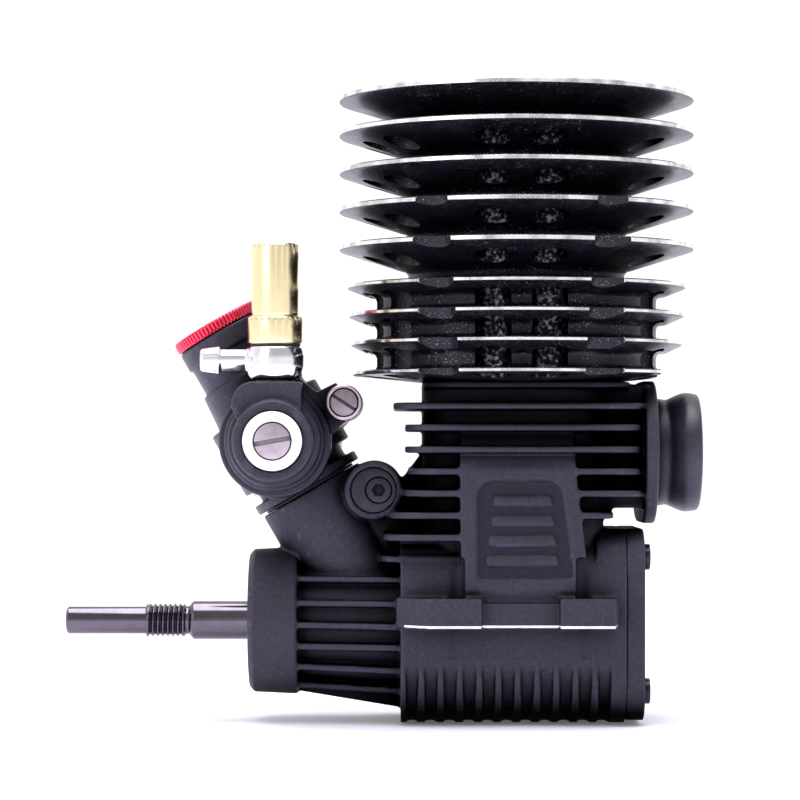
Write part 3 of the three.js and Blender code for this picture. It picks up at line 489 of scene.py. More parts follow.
def rim_material():
    """Bare turned rims: near white, with greyer lengths along them, and fine specks of painted glint in the
    colour.
    """
    material, tree, shader = tree_of("bare_rim")
    mm = millimetres(tree)
    lengths = add(tree, "ShaderNodeMapping", {"Scale": (1, 1, 0.35), "Vector": mm})
    patches = ramp(tree, noise(tree, lengths, 0.3, 1.5, 0.4), [(0.42, grey(0)), (0.66, grey(0.8))])
    painted_glint_specks = ramp(tree, noise(tree, mm, 4.5, 2.0), [(0.5, grey(0)), (0.7, grey(1))])
    bright = (0.95, 0.95, 0.97)
    base = mixed(tree, patches, bright, (0.34, 0.33, 0.37))
    feed(shader, {
        # Painted glints: specks turn the greyer lengths back to bright white.
        "Base Color": mixed(tree, times(tree, patches, painted_glint_specks), base, bright),
        "Metallic": 1.0,
        "Roughness": ramp(tree, painted_glint_specks, [(0.0, grey(0.12)), (1.0, grey(0.2))]),
    })
    bumped(tree, shader, painted_glint_specks, 0.003, 0.6, 0.06)
    return material


def drilled_material():
    """Walls of the head's front and back air holes: black, with dim painted glints as grey patches in the
    colour.
    """
    material, tree, shader = tree_of("drilled_wall")
    # Painted glints: grey patches in the black of the hole walls.
    painted_glints = ramp(tree, noise(tree, millimetres(tree), 1.3, 3.0), [(0.5, grey(0)), (0.68, grey(1))])
    base = mixed(tree, painted_glints, (0.006, 0.006, 0.008), (0.17, 0.165, 0.19))
    feed(shader, {"Base Color": base, "Metallic": 1.0, "Roughness": 0.28})
    bumped(tree, shader, painted_glints, 0.03, 0.6)
    return material


def plain_material(name, colour, rough, grain, bump, spread, metallic=0.0, subsurface=0.0):
    """A moulded or plated surface with slight mottling and a fine grain."""
    material, tree, shader = tree_of(name)
    mm = millimetres(tree)
    fine = noise(tree, mm, 1.0 / grain, 3.0)
    cloud = ramp(tree, noise(tree, mm, 0.3, 3.0), [(0.35, grey(0)), (0.7, grey(1))])
    feed(shader, {
        "Base Color": mixed(tree, cloud, colour, tinted(colour, 1 - spread)),
        "Roughness": ramp(tree, fine, [(0.3, grey(rough * 0.85)), (0.7, grey(rough * 1.15))]),
        "Metallic": metallic,
        "Subsurface Weight": subsurface,
        "Subsurface Radius": (0.001, 0.001, 0.001),
    })
    bumped(tree, shader, fine, bump, 0.5, 0.08)
    return material


CAST = cast_material("cast_black", (0.022, 0.0198, 0.036), 0.26, 0.52, 0.8, 0.45)
COMPOSITE = cast_material("black_composite", (0.029, 0.0265, 0.045), 0.14, 0.38, 0.7, 0.45)
STUB = cast_material("turned_black_stub", (0.027, 0.025, 0.043), 0.08, 0.36, 0.2, 0.6)
# A darker copy of the casting for the sunk panels: painted shade.
SHADED_SUNK_CAST = cast_material("cast_black_sunk_painted_shade", (0.012, 0.011, 0.022), 0.26, 0.56, 0.5, 0.3)
MACHINED_FACE = metal_material("machined_face", (0.86, 0.86, 0.88), 0.22, "x", 0.2)
HEAD = head_material()
RIM = rim_material()
DRILLED = drilled_material()
ALUMINIUM_Z = metal_material("aluminium_turned_z", (0.78, 0.78, 0.8), 0.3, "z")
ALUMINIUM_Y = metal_material("aluminium_turned_y", (0.78, 0.78, 0.8), 0.26, "y")
STEEL_X = metal_material("steel_ground_x", (0.135, 0.117, 0.145), 0.1, "x", 0.1, 0.003, 0.08)
SCREW_STEEL = metal_material("screw_steel", (0.55, 0.47, 0.53), 0.36, "x", 0.07, 0.006, 0.14)
DULL_STEEL = metal_material("screw_steel_dull", (0.33, 0.28, 0.315), 0.36, "x", 0.07, 0.006, 0.2)
# Its last number lets the painted shade reach 4 mm into the screw sockets.
BLACK_STEEL = metal_material("black_steel", (0.045, 0.042, 0.054), 0.3, "y", 0.1, 0.004, 0.15, 4.0)
BRASS = metal_material("brass_turned", (1.0, 0.85, 0.53), 0.2, "z", 0.12, 0.003, 0.04)
BRONZE = metal_material("bronze_soft", (0.55, 0.33, 0.16), 0.35, "z")
CHROME = plain_material("nickel_bright", (0.89, 0.87, 0.94), 0.16, 0.9, 0.012, 0.06, 1.0)
PLATED = metal_material("plated_steel", (0.62, 0.61, 0.60), 0.2, "y")
RED = metal_material("red_anodised", (0.95, 0.085, 0.16), 0.3, "z", 0.1, 0.004, 0.14)
NYLON = plain_material("white_nylon", (0.86, 0.86, 0.85), 0.42, 0.25, 0.006, 0.05, 0.0, 0.25)
RUBBER = plain_material("black_rubber", (0.018, 0.018, 0.019), 0.62, 0.12, 0.012, 0.2)


def piece(obj, name, node, material, body="engine_case", smooth=True, finish=None):
    """Names a finished solid, moves it into the CAD's frame in metres and lets it stand for its CAD node.

    The material may be a list, whose first one gives the slot; finish(centre, normal), in millimetres,
    is then the number of each face's material in the list.
    """
    materials = material if isinstance(material, list) else [material]
    obj.name = name
    obj.data.name = name
    obj.data.materials.clear()
    for one in materials:
        obj.data.materials.append(one)
    for polygon in obj.data.polygons:
        polygon.material_index = int(finish(polygon.center, polygon.normal)) if finish else 0
    obj.data.transform(Matrix.Scale(1 / TO_MM, 4) @ Matrix.Translation((CRANK_X, 0, 0)))
    if smooth:
        obj.data.polygons.foreach_set("use_smooth", [True] * len(obj.data.polygons))
        obj.data.set_sharp_from_angle(angle=math.radians(32))
    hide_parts(node)
    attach(obj, body)


# ------------------------------------------------------------------ crankcase
FIN_TOP, FIN_PITCH, FIN_THICKNESS, FIN_CORNER = 38.68, 3.86, 1.16, 5.2
# Each cylinder fin's reach along X and its half depth along Y, from the top fin down.
FIN_REACH = [
    (-22.3, 21.8, 19.8),
    (-20.2, 21.8, 19.8),
    (-20.2, 21.8, 19.8),
    (-19.6, 21.8, 19.8),
    (-20.5, 21.8, 19.8),
    (-23.0, 16.6, 19.8),
    (-24.0, 0.0, 19.8),
    (-24.6, 0.0, 16.4),
]
CASE_BACK = node_box("rear_cover_o_ring")[1].x + 3.0
RIB_FIRST, RIB_PITCH, RIB_COUNT = -17.36, 3.4, 11
NECK_START, NECK_END = -39.35, -20.5
NECK_RIB_FRONT_R, NECK_RIB_BACK_R, NECK_RIB_HALF = 12.8, 15.9, 0.55
# Each neck rib's height at the nose and at the crank chamber, from the top rib down.
NECK_RIBS = [(7.85, 7.85), (3.65, 3.6), (-0.2, -0.4), (-3.95, -4.15), (-7.65, -8.3), (-11.2, -12.1)]
BULGE_Y, PANEL_Y = 19.8, 19.2
LUG_BOTTOM, LUG_TOP, LUG_Y = -0.35, 4.9, 22
LUG_HOLE_X, LUG_HOLE_Y, LUG_HOLE_R = 11.4, 18.6, 1.8


def cylinder_fins():
    fins = []
    for i, (left, right, depth) in enumerate(FIN_REACH):
        z = FIN_TOP - i * FIN_PITCH
        if right > 0:
            outline = rounded_rect(left, right, -depth, depth, FIN_CORNER)
        else:
            u, v = left + FIN_CORNER, depth - FIN_CORNER
            outline = arc(u, v, FIN_CORNER, FIN_CORNER, 90, 180)
            outline += arc(u, -v, FIN_CORNER, FIN_CORNER, 180, 270)
            outline += [(right, -depth), (right, depth)]
        fins.append(plate("z", outline, z - FIN_THICKNESS / 2, z + FIN_THICKNESS / 2))
    return fins


def chamber():
    rear = plate("x", rounded_rect(-16.6, 16.6, -17.2, 16.9, 6), 13.5, CASE_BACK)
    return joined(plate("x", rounded_rect(-17, 17, -17.8, 16.9, 8.8), -21, CASE_BACK), rear)


def rib_grooves():
    """The gaps beside and between the ribs under the crank chamber; each rib starts as a point."""
    half_widths = [(-4.7, 0.12), (-6.6, 0.38), (-9.5, 0.58), (-13, 0.66), (-20, 0.7)]
    spans = [(RIB_FIRST + i * RIB_PITCH, RIB_FIRST + (i + 1) * RIB_PITCH) for i in range(RIB_COUNT - 1)]
    spans.append((RIB_FIRST - 3.3, RIB_FIRST))
    grooves = []
    for low, high in spans:
        down = [(low + half, z) for z, half in half_widths]
        up = [(high - half, z) for z, half in reversed(half_widths)]
        grooves.append(plate("y", down + up, -20, 20))
    right = [(17.3, -5.5), (15.9, -9.5)] + arc(7, -9.6, 8.4, 7.9, -20, -90, 8)
    belly = [(19, 20), (-19, 20)] + [(-y, z) for y, z in right] + right[::-1]
    return cut(joined(*grooves), plate("x", belly, -23, 22))


def neck_ribs():
    """Level ribs across the cone-shaped neck, each as deep as the round outline allows, and a keel below."""
    length = NECK_END - NECK_START
    ribs = []
    for nose_z, chamber_z in NECK_RIBS:
        front_y = math.sqrt(NECK_RIB_FRONT_R**2 - nose_z**2)
        back_y = math.sqrt(NECK_RIB_BACK_R**2 - chamber_z**2)
        outline = [(0, -front_y), (length, -back_y), (length, back_y), (0, front_y)]
        rib = plate("z", outline, -NECK_RIB_HALF, NECK_RIB_HALF)
        turn = Matrix.Rotation(math.atan2(nose_z - chamber_z, length), 4, "Y")
        rib.data.transform(Matrix.Translation((NECK_START, 0, nose_z)) @ turn)
        ribs.append(rib)
    keel = [(NECK_START, 0), (NECK_END, 0), (NECK_END, -NECK_RIB_BACK_R), (NECK_START, -NECK_RIB_FRONT_R)]
    return ribs + [plate("y", keel, -NECK_RIB_HALF, NECK_RIB_HALF)]


def nose():
    return turned("x", [
        (0, -48.3), (12.05, -48.3), (12.95, -47.4), (13.3, -39.8), (12.9, -39.4), (10.6, -39.4),
        (13.4, NECK_END), (0, NECK_END),
    ], segments=FINE)


def transfer_bulge():
    """The swelling over a side transfer passage: a trapezoid that fades into the barrel above."""
    outline = [(-10.4, 3.9), (12.5, 3.9), (9.8, 26.8), (9.4, 37), (-10.5, 37), (-10.6, 26.8)]
    slope = plate("x", [(-21, 27.6), (-BULGE_Y, 27.6), (-15, 36), (-15, 38), (-21, 38)], -15, 15)
    under = plate("x", [(-21, 2.9), (-18.2, 2.9), (-BULGE_Y, 6.3), (-21, 6.3)], -15, 15)
    return cut(plate("y", rounded_polygon(outline, 0.8), -BULGE_Y, -10), slope, under)


def bulge_panel():
    outline = [(-7.6, 8.2), (9.4, 8.2), (7.2, 24.2), (5.4, 25.6), (-5.8, 25.6), (-7.6, 23.8)]
    return plate("y", rounded_polygon(outline, 1.2), -21, -PANEL_Y)


def bulge_bars():
    """Plain raised bars that cross the sunk panel."""
    bars = []
    for z, half in ((11.4, 5.9), (14.9, 5.5), (18.4, 5.1), (21.9, 4.7)):
        outline = [(-half, z - 0.85), (half + 0.9, z - 0.85), (half + 0.5, z + 0.85), (-half, z + 0.85)]
        bars.append(plate("y", rounded_polygon(outline, 0.5), -19.75, -18.9))
    return bars


def exhaust_stub():
    outline = rounded_rect(-18.5, 18.5, EXHAUST_Z - 12.75, EXHAUST_Z + 12.75, 12.5, 16)
    flange = plate("x", outline, 22.25, 24.5)
    duct = block(8, 23, -11.8, 11.8, 20.6, DECK_Z - 0.4)
    stub = lathed("x", [
        (0, 20), (9.4, 24), (9.7, 25.3), (9.7, 26.2), (9.42, 27.1), (10.1, 28.4), (10.8, 30.2), (10.75, 31.6),
        (10.45, 32.8), (10.1, 33), (0, 33),
    ], 0.5, (0, 0, EXHAUST_Z), FINE)
    return joined(flange, duct, stub)


def carburettor_boss():
    boss = leaned(bar("z", 9.8, -24, -0.6, segments=FINE))
    web = plate("y", [(-26, 6), (-16, 6), (-16, 32), (-20.5, 26), (-26, 26)], -7.5, 7.5)
    return joined(boss, web, soft_bar("y", 5.25, -12, 12, 0.4, RETAINER_AT, FINE))


def mounting_lugs():
    web = plate("z", [(-20.8, -12), (-20.8, -17.4), (-18.2, -20), (17, -20), (17, -12)], LUG_BOTTOM, 4.0)
    front = [(-21.8, -12), (-21.8, -17.4), (-16.2, -LUG_Y), (-6.8, -LUG_Y), (-6.8, -12)]
    back = block(6.9, 16.6, -LUG_Y, -12, LUG_BOTTOM, LUG_TOP)
    return joined(web, plate("z", front, LUG_BOTTOM, LUG_TOP), back)


def crankcase_cutters():
    cutters = [
        bar("x", 7.15, -44, 0, segments=FINE),
        bar("x", 9.52, -50, -41.85, segments=FINE),
        bar("x", 13.02, -17.25, 0, segments=FINE),
        bar("x", 13.6, -11, CASE_BACK + 1, segments=FINE),
        bar("z", 9.52, 0, 44, segments=FINE),
        bar("z", 11.02, DECK_Z - 2.1, 44, segments=FINE),
        block(-4.8, 4.8, -14.2, 14.2, 4, 30.5),
        block(-13, -5, -3.5, 3.5, 8, 30.5),
        bar("x", 8.2, 7, 34, (0, 0, EXHAUST_Z), FINE),
        leaned(bar("z", 7.3, -11.5, 1, segments=FINE)),
        leaned(bar("z", 4.8, -26, 0, segments=SMALL)),
        leaned(bar("z", 10.7, -0.6, 8, segments=FINE)),
        bar("y", 4.12, -20, 20, RETAINER_AT, MEDIUM),
    ]
    for sx in (-1, 1):
        for sy in (-1, 1):
            cutters.append(bar("z", 1.65, 30, 44, (sx * HEAD_BOLT, sy * HEAD_BOLT, 0), SMALL))
            cutters.append(bar("z", LUG_HOLE_R, -6, 12, (sx * LUG_HOLE_X, sy * LUG_HOLE_Y, 0), SMALL))
            cutters.append(bar("x", 1.35, 12.5, CASE_BACK + 1, (0, sx * COVER_BOLT, sy * COVER_BOLT), SMALL))
    return cutters


def crankcase_finish(c, n):
    """Bright lug feet and spot faces (1), the turned stub (2), the sunk panels (3) and the casting (0)."""
    foot = abs(c.y) > 17.25 and -0.6 < c.z < 0.1 and -20.4 < c.x < 17.2
    from_hole = math.hypot(abs(c.x) - LUG_HOLE_X, abs(c.y) - LUG_HOLE_Y)
    spot_face = n.z > 0.5 and 4.65 < c.z < 5.0 and abs(from_hole - 2.15) < 0.45
    if foot or spot_face:
        return 1
    # The sunk panels take the darker casting: painted shade.
    if -7.7 < c.x < 9.5 and 8.1 < c.z < 25.7 and 18.9 < abs(c.y) < 19.42 and abs(n.y) > 0.75:
        return 3
    return 2 if c.x > 24.75 and math.hypot(c.y, c.z - EXHAUST_Z) < 11.2 else 0


def make_crankcase():
    body = cut(chamber(), rib_grooves())
    barrel = plate("z", rounded_rect(-17.1, 15.2, -15.5, 15.5, 6), 10, DECK_Z)
    deck = plate("z", rounded_rect(-17.1, 19.6, -17.5, 17.5, 6), DECK_Z - 1.1, DECK_Z)
    sides = []
    for make in (transfer_bulge, mounting_lugs):
        side = make()
        sides += [side, mirrored(side)]
    ribs = neck_ribs() + cylinder_fins()
    whole = joined(body, nose(), barrel, deck, *ribs, *sides, exhaust_stub(), carburettor_boss())
    panel = bulge_panel()
    cut(whole, *crankcase_cutters(), panel, mirrored(panel))
    bars = bulge_bars()
    joined(whole, *bars, *[mirrored(one) for one in bars])
    moulded(whole, 0.3, 3, 0.5)
    surfaces = [CAST, MACHINED_FACE, STUB, SHADED_SUNK_CAST]
    piece(whole, "crankcase_casting", "crankcase", surfaces, smooth=False, finish=crankcase_finish)


def make_rear_cover():
    low, high = node_box("rear_cover")
    face = plate("x", rounded_rect(low.y, high.y, low.z, high.z, 6), CASE_BACK + 0.02, high.x)
    step = turned("x", [
        (0, 11), (9.5, 11), (11, low.x), (13.5, low.x), (13.5, 14.5), (12.5, 14.5), (12.5, 16), (13.5, 16),
        (13.5, CASE_BACK + 0.5), (0, CASE_BACK + 0.5),
    ], segments=FINE)
    corners = [(0, sy * COVER_BOLT, sz * COVER_BOLT) for sy in (-1, 1) for sz in (-1, 1)]
    holes = [bar("x", 1.6, CASE_BACK - 1, 25, at, SMALL) for at in corners]
    recess = plate("x", rounded_rect(-9, 9, -9, 9, 4), high.x - 0.6, high.x + 1)
    cover = cut(joined(face, step), recess, *holes)
    moulded(cover, 0.25, 2)
    piece(cover, "rear_cover_casting", "rear_cover", CAST, smooth=False)
    for i, at in enumerate(corners, 1):
        screw = cap_screw("x", at, 13, high.x + 0.02, 1.1, 1.3, 2.3, 1.1)
        piece(screw, f"cover_screw_{i}", f"rear_cover_screw_{i}", BLACK_STEEL)
    seal = ring("x", 13.55, 12.55, 14.6, 15.9, edge=0.5)
    piece(seal, "cover_seal", "rear_cover_o_ring", RUBBER)


# ------------------------------------------------------------------ crankshaft, bearings, piston and liner
THREAD_FRONT, THREAD_BACK, THREAD_PITCH, THREAD_DEPTH = -67.1, -60.2, 0.907, 0.5
THREAD_STEPS = 150


def helix(angle, h):
    """How far the thread's groove reaches below its crest, fading out at both ends."""
    if not THREAD_FRONT < h < THREAD_BACK:
        return 0.0
    turn = ((h - THREAD_FRONT) / THREAD_PITCH + angle / (2 * math.pi)) % 1.0
    groove = max(0.0, 1 - abs(turn - 0.5) / 0.42)
    fade = min(1.0, (h - THREAD_FRONT) / 0.5, (THREAD_BACK - h) / 0.4)
    return -THREAD_DEPTH * groove * fade


def make_crankshaft():
    profile = softened([(0, -81.6), (2.1, -81.6), (2.5, -81.2), (2.5, -70)], 0.1)
    profile += [(2.5, -68), (2.5, THREAD_FRONT - 0.05), (2.55, THREAD_FRONT)]
    for k in range(1, THREAD_STEPS):
        profile.append((3.05, THREAD_FRONT + (THREAD_BACK - THREAD_FRONT) * k / THREAD_STEPS))
    profile += softened([
        (3.0, THREAD_BACK), (2.6, THREAD_BACK + 0.3), (2.6, -59.4), (3.3, -58.8), (3.5, -58.5), (3.5, -41.4),
        (6.5, -41.4), (7, -40.8), (7, -10.65),
    ], 0.12)
    profile += softened([(7, -10.6), (12.7, -10.6), (13, -10.3), (13, -4.1), (12.7, -3.8), (0, -3.8)], 0.1)
    shaft = turned("x", profile, segments=FINE, wobble=helix)
    balance = [block(-8.4, 0, s * 7.4 - 3, s * 7.4 + 3, 3.5, 14) for s in (-1, 1)]
    gas_bore = bar("x", 4.8, -36, 0, segments=MEDIUM)
    intake_window = block(-33, -22, -4.6, 4.6, 3, 8)
    cut(shaft, gas_bore, intake_window, *balance)
    piece(shaft, "crankshaft_turned", "crankshaft", STEEL_X, "crank")


def grooved_race(rim, track, x, width, lip, groove):
    """A race between its outer or inner rim and the ball track, with the track's groove."""
    middle = x + width / 2
    return lathed("x", [
        (rim, middle), (rim, x), (track - lip, x), (track - lip, middle - groove), (track, middle),
        (track - lip, middle + groove), (track - lip, x + width), (rim, x + width), (rim, middle),
    ], 0.2)


def make_bearing(name, x, outer, bore, ball, count, width=6):
    pitch, middle = (outer + bore) / 2, x + width / 2
    gap, lip, groove = ball + 0.4, 0.7, ball * 0.75
    outside = grooved_race(outer, pitch + gap, x, width, lip, groove)
    inside = grooved_race(bore + 0.02, pitch - gap, x, width, -lip, groove)
    piece(outside, f"{name}_outer_ring", f"{name}_outer_race", STEEL_X)
    piece(inside, f"{name}_inner_ring", f"{name}_inner_race", STEEL_X, "crank")
    cage = ring("x", pitch + 0.45, pitch - 0.45, middle - 0.6, middle + 0.6)
    half = [(ball * math.sin(math.pi * k / 14), -ball * math.cos(math.pi * k / 14)) for k in range(15)]
    half[0], half[-1] = (0, -ball), (0, ball)
    balls = []
    for i in range(count):
        a = 2 * math.pi * i / count
        balls.append(turned("x", half, (middle, pitch * math.cos(a), pitch * math.sin(a)), 24))
    piece(joined(cage, *balls), f"{name}_balls", f"{name}_balls_and_cage", PLATED, f"{name}_cage")


def make_bearings():
    make_bearing("front_bearing", -47.9, 9.5, 3.5, 1.55, 7)
    make_bearing("rear_bearing", -17.2, 13, 7, 1.75, 10)
    shield = ring("x", 9.4, 4.2, -48.2, -47.95, edge=0.08)
    piece(shield, "bearing_seal", "front_bearing_shield", BLACK_STEEL)


def make_piston():
    r, skirt, wrist = 8.1, CROWN_Z - 11.8, (0, 0, WRIST_Z)
    body = "piston_and_rod"
    shell = lathed("z", [
        (0, CROWN_Z), (r, CROWN_Z), (r, skirt), (6.7, skirt), (6.7, CROWN_Z - 3), (0, CROWN_Z - 3),
    ], 0.3, segments=FINE)
    bosses = [block(*span, -3, 3, WRIST_Z - 3, CROWN_Z - 2) for span in ((-7.4, -3.8), (3.8, 7.4))]
    seats = [bar("x", 2.5, s * 6.9, s * 10, wrist, SMALL) for s in (-1, 1)]
    piston = cut(joined(shell, *bosses), bar("x", 2.1, -10, 10, wrist, SMALL), *seats)
    piece(piston, "piston_turned", "piston", ALUMINIUM_Z, body)
    pin = ring("x", 2.04, 1, -6.8, 6.8, wrist, SMALL)
    piece(pin, "wrist_pin_ground", "wrist_pin", STEEL_X, body)
    for i, span in enumerate(((-7.5, -6.95), (6.95, 7.5)), 1):
        clip = ring("x", 2.4, 1.7, *span, wrist, SMALL)
        piece(clip, f"pin_clip_{i}", f"wrist_pin_clip_{i}", BLACK_STEEL, body)


def make_rod():
    wrist, throw, body = (0, 0, WRIST_Z), (0, 0, THROW), "piston_and_rod"
    shank = block(-1.6, 1.6, -2.1, 2.1, THROW, WRIST_Z)
    rod = joined(bar("x", 5, -3.2, 3.2, throw), bar("x", 3.7, -3.2, 3.2, wrist), shank)
    rod = cut(rod, bar("x", 3.7, -5, 5, throw), bar("x", 2.6, -5, 5, wrist, SMALL))
    moulded(rod, 0.2, 2)
    piece(rod, "connecting_rod_forged", "connecting_rod", ALUMINIUM_Z, body, smooth=False)
    big_bush = ring("x", 3.62, 3.05, -3.2, 3.2, throw)
    piece(big_bush, "big_end_bush_turned", "big_end_bush", BRONZE, body)
    small_bush = ring("x", 2.5, 2.1, -3.2, 3.2, wrist)
    piece(small_bush, "small_end_bush_turned", "small_end_bush", BRONZE, body)
    piece(ring("x", 3, 1.2, -3.6, 3.6, throw), "crankpin_ground", "crankpin", STEEL_X, body)


def make_liner():
    top = DECK_Z - 0.1
    liner = lathed("z", [
        (8.15, 28), (8.15, 14), (9.5, 14), (9.5, DECK_Z - 2), (11, DECK_Z - 2), (11, top), (8.15, top),
        (8.15, 28),
    ], 0.15, segments=FINE)
    exhaust_port = block(5, 12, -5, 5, 26, 31.8)
    side_ports = block(-4.2, 4.2, -12, 12, 26, 29.6)
    boost_port = block(-12, -5, -3.2, 3.2, 26, 29.4)
    rod_clearance = block(-3.4, 3.4, -12, 12, 10, 17)
    cut(liner, exhaust_port, side_ports, boost_port, rod_clearance)
    piece(liner, "cylinder_liner_turned", "cylinder_liner", ALUMINIUM_Z)


def make_combustion_chamber():
    bottom, seat = DECK_Z + 0.32, 50.0
    insert = lathed("z", [
        (12, 46), (12, seat - 0.3), (5.4, seat - 0.3), (4.4, seat - 1.2), (3.1, seat - 1.2), (3.1, seat - 2),
        (6.8, bottom + 0.9), (8, bottom), (12, bottom), (12, 46),
    ], 0.15, segments=FINE)
    piece(insert, "combustion_insert", "combustion_chamber", ALUMINIUM_Z)
    shim = ring("z", 11, 8.4, DECK_Z - 0.06, DECK_Z + 0.28, edge=0.05)
    piece(shim, "head_shim", "head_gasket", BRONZE)
    z, r = seat - 1.2, 4.1
    plug = lathed("z", [
        (0, z - 0.8), (2.4, z - 0.8), (3, z + 0.05), (3, z + 0.4), (r, z + 0.4), (r, z + 4.4), (2, z + 4.6),
        (2, z + 5.4), (1.3, z + 5.6), (1.3, z + 7.6), (0, z + 7.6),
    ], 0.15)
    hexagon = [(r * math.cos(math.radians(60 * k)), r * math.sin(math.radians(60 * k))) for k in range(6)]
    flats = cut(bar("z", 6, z + 1.3, z + 4.5), plate("z", hexagon, z, z + 5))
    piece(cut(plug, flats), "glow_plug_body", "glow_plug", PLATED)
    piece(ring("z", 4, 3.1, z + 0.05, z + 0.35, edge=0.05), "plug_washer", "glow_plug_washer", BRONZE)


# ------------------------------------------------------------------ cooling head
# The height of each fin's upper face and its radius, from the top fin down.
UPPER = [(94.8, 32.1), (88.55, 32.1), (81.65, 32.1), (74.8, 32.1), (67.9, 32.1)]
LOWER = [(60.8, 30.6), (55.65, 30.3), (50.5, 30.0), (45.15, 29.7)]
AIR_HOLE_R, AIR_HOLE_CIRCLE = 3.25, 25
FRONT_HOLE_ANGLES = (-11.3, 11.3)
AIR_HOLE_ANGLES = (-79, -56.4, *FRONT_HOLE_ANGLES, 65.5)
NOTCH_R, NOTCH_FOOT_R, NOTCH_FOOT_Z, NOTCH_LEAN, NOTCH_TOP, NOTCH_ANGLE = 4.1, 30.3, 45, 8.3, 76, 29.4


def head_profile():
    """Down the outside, fin by fin: a bright rim, a coned underside and a curved root."""
    path = [(7.5, UPPER[0][0])]
    for (z, r), below in zip(UPPER, [top for top, _ in UPPER[1:]] + [LOWER[0][0]]):
        path += [(r - 0.25, z), (r, z - 0.2), (r, z - 0.85), (r - 0.2, z - 1.05)]
        path += [(21.2, z - 4.4), (20.7, z - 4.5), (20.1, z - 4.75), (19.7, z - 5.2)]
        path += [(19.6, z - 5.5), (19.6, below + 0.45)]
    for i, (z, r) in enumerate(LOWER):
        path += arc(26.6 if i else 21.4, z + 1.0, 1.3 if i else 1.8, 1.0, 180, 270, 5)
        path += [(r - 0.25, z), (r, z - 0.2), (r, z - 0.65), (r - 0.15, z - 0.8)]
        if i < len(LOWER) - 1:
            path += arc(26.8, z - 3.2, 1.5, 1.25, 70, 180, 7)
    return path + [(17.4, 43.1), (12.2, 43.1), (12.2, 50), (7.5, 50), (7.5, UPPER[0][0])]


def head_notch(side, angle):
    """A round cutter that leans outward, so that the notches it makes in the rims run out near the top."""
    leaning = bar("z", NOTCH_R, -8, 37)
    lean = Matrix.Rotation(math.radians(-side * NOTCH_LEAN), 4, "X")
    leaning.data.transform(Matrix.Translation((0, side * NOTCH_FOOT_R, NOTCH_FOOT_Z)) @ lean)
    cut(leaning, block(-20, 20, -60, 60, NOTCH_TOP, 96))
    leaning.data.transform(Matrix.Rotation(math.radians(-side * angle), 4, "Z"))
    return leaning


def air_hole_centre(side, degrees):
    a = math.radians(degrees)
    return AIR_HOLE_CIRCLE * math.sin(a), side * AIR_HOLE_CIRCLE * math.cos(a)


FRONT_HOLES = [air_hole_centre(side, angle) for side in (-1, 1) for angle in FRONT_HOLE_ANGLES]


def head_finish(c, n):
    """Bare rims (1), the walls of the front and back air holes (2) and the black head (0)."""
    r = math.hypot(c.x, c.y)
    if any(r > edge - 0.28 and z - 0.62 < c.z < z + 0.02 for z, edge in UPPER + LOWER):
        return 1
    # The front and back hole walls take the painted glints of the drilled walls.
    in_hole = any(abs(math.hypot(c.x - x, c.y - y) - 3.22) < 0.06 for x, y in FRONT_HOLES)
    return 2 if in_hole and abs(n.z) < 0.3 else 0


def make_cooling_head():
    head = turned("z", head_profile(), segments=256)
    cutters = [block(24.95, 40, -40, 40, 40, 45.6)]
    for side in (-1, 1):
        cutters += [head_notch(side, -NOTCH_ANGLE), head_notch(side, NOTCH_ANGLE)]
        for angle in AIR_HOLE_ANGLES:
            cutters.append(bar("z", AIR_HOLE_R, 40, 89, (*air_hole_centre(side, angle), 0)))
        for sx in (-1, 1):
            cutters.append(bar("z", 1.9, 40, 51, (sx * HEAD_BOLT, side * HEAD_BOLT, 0), SMALL))
            cutters.append(bar("z", 3.3, 50.2, 100, (sx * HEAD_BOLT, side * HEAD_BOLT, 0), MEDIUM))
    cut(head, *cutters)
    piece(head, "cooling_head_turned", "cooling_head", [HEAD, RIM, DRILLED], finish=head_finish)
    for i, (sx, sy) in enumerate([(-1, -1), (-1, 1), (1, -1), (1, 1)], 1):
        screw = cap_screw("z", (sx * HEAD_BOLT, sy * HEAD_BOLT, 0), 33, 50.25, 3.5, 1.6, 3, 1.6)
        piece(screw, f"head_bolt_{i}", f"head_screw_{i}", BLACK_STEEL)


# ------------------------------------------------------------------ carburettor
IDLE_TUBE_R, IDLE_BORE_R = 3.2, 2.6


def carburettor_neck():
    return leaned(lathed("z", [
        (0, -11), (7, -11), (7, 0), (10.35, 0), (10.35, 1.7), (8.6, 1.7), (8.6, 4.2), (10.75, 4.2),
        (10.75, 16.5), (9, 16.8), (8.5, 23.4), (7.8, 23.5), (7.8, 28.6), (8.3, 28.7), (8.3, 32.2), (0, 32.2),
    ], 0.25, segments=FINE))


def carburettor_finish(c, n):
    """The bright rim round the idle screw (1) and the moulding (0)."""
    return c.y < -15.5 and 2.45 < math.hypot(c.x - IDLE_X, c.z - IDLE_Z) < 3.3


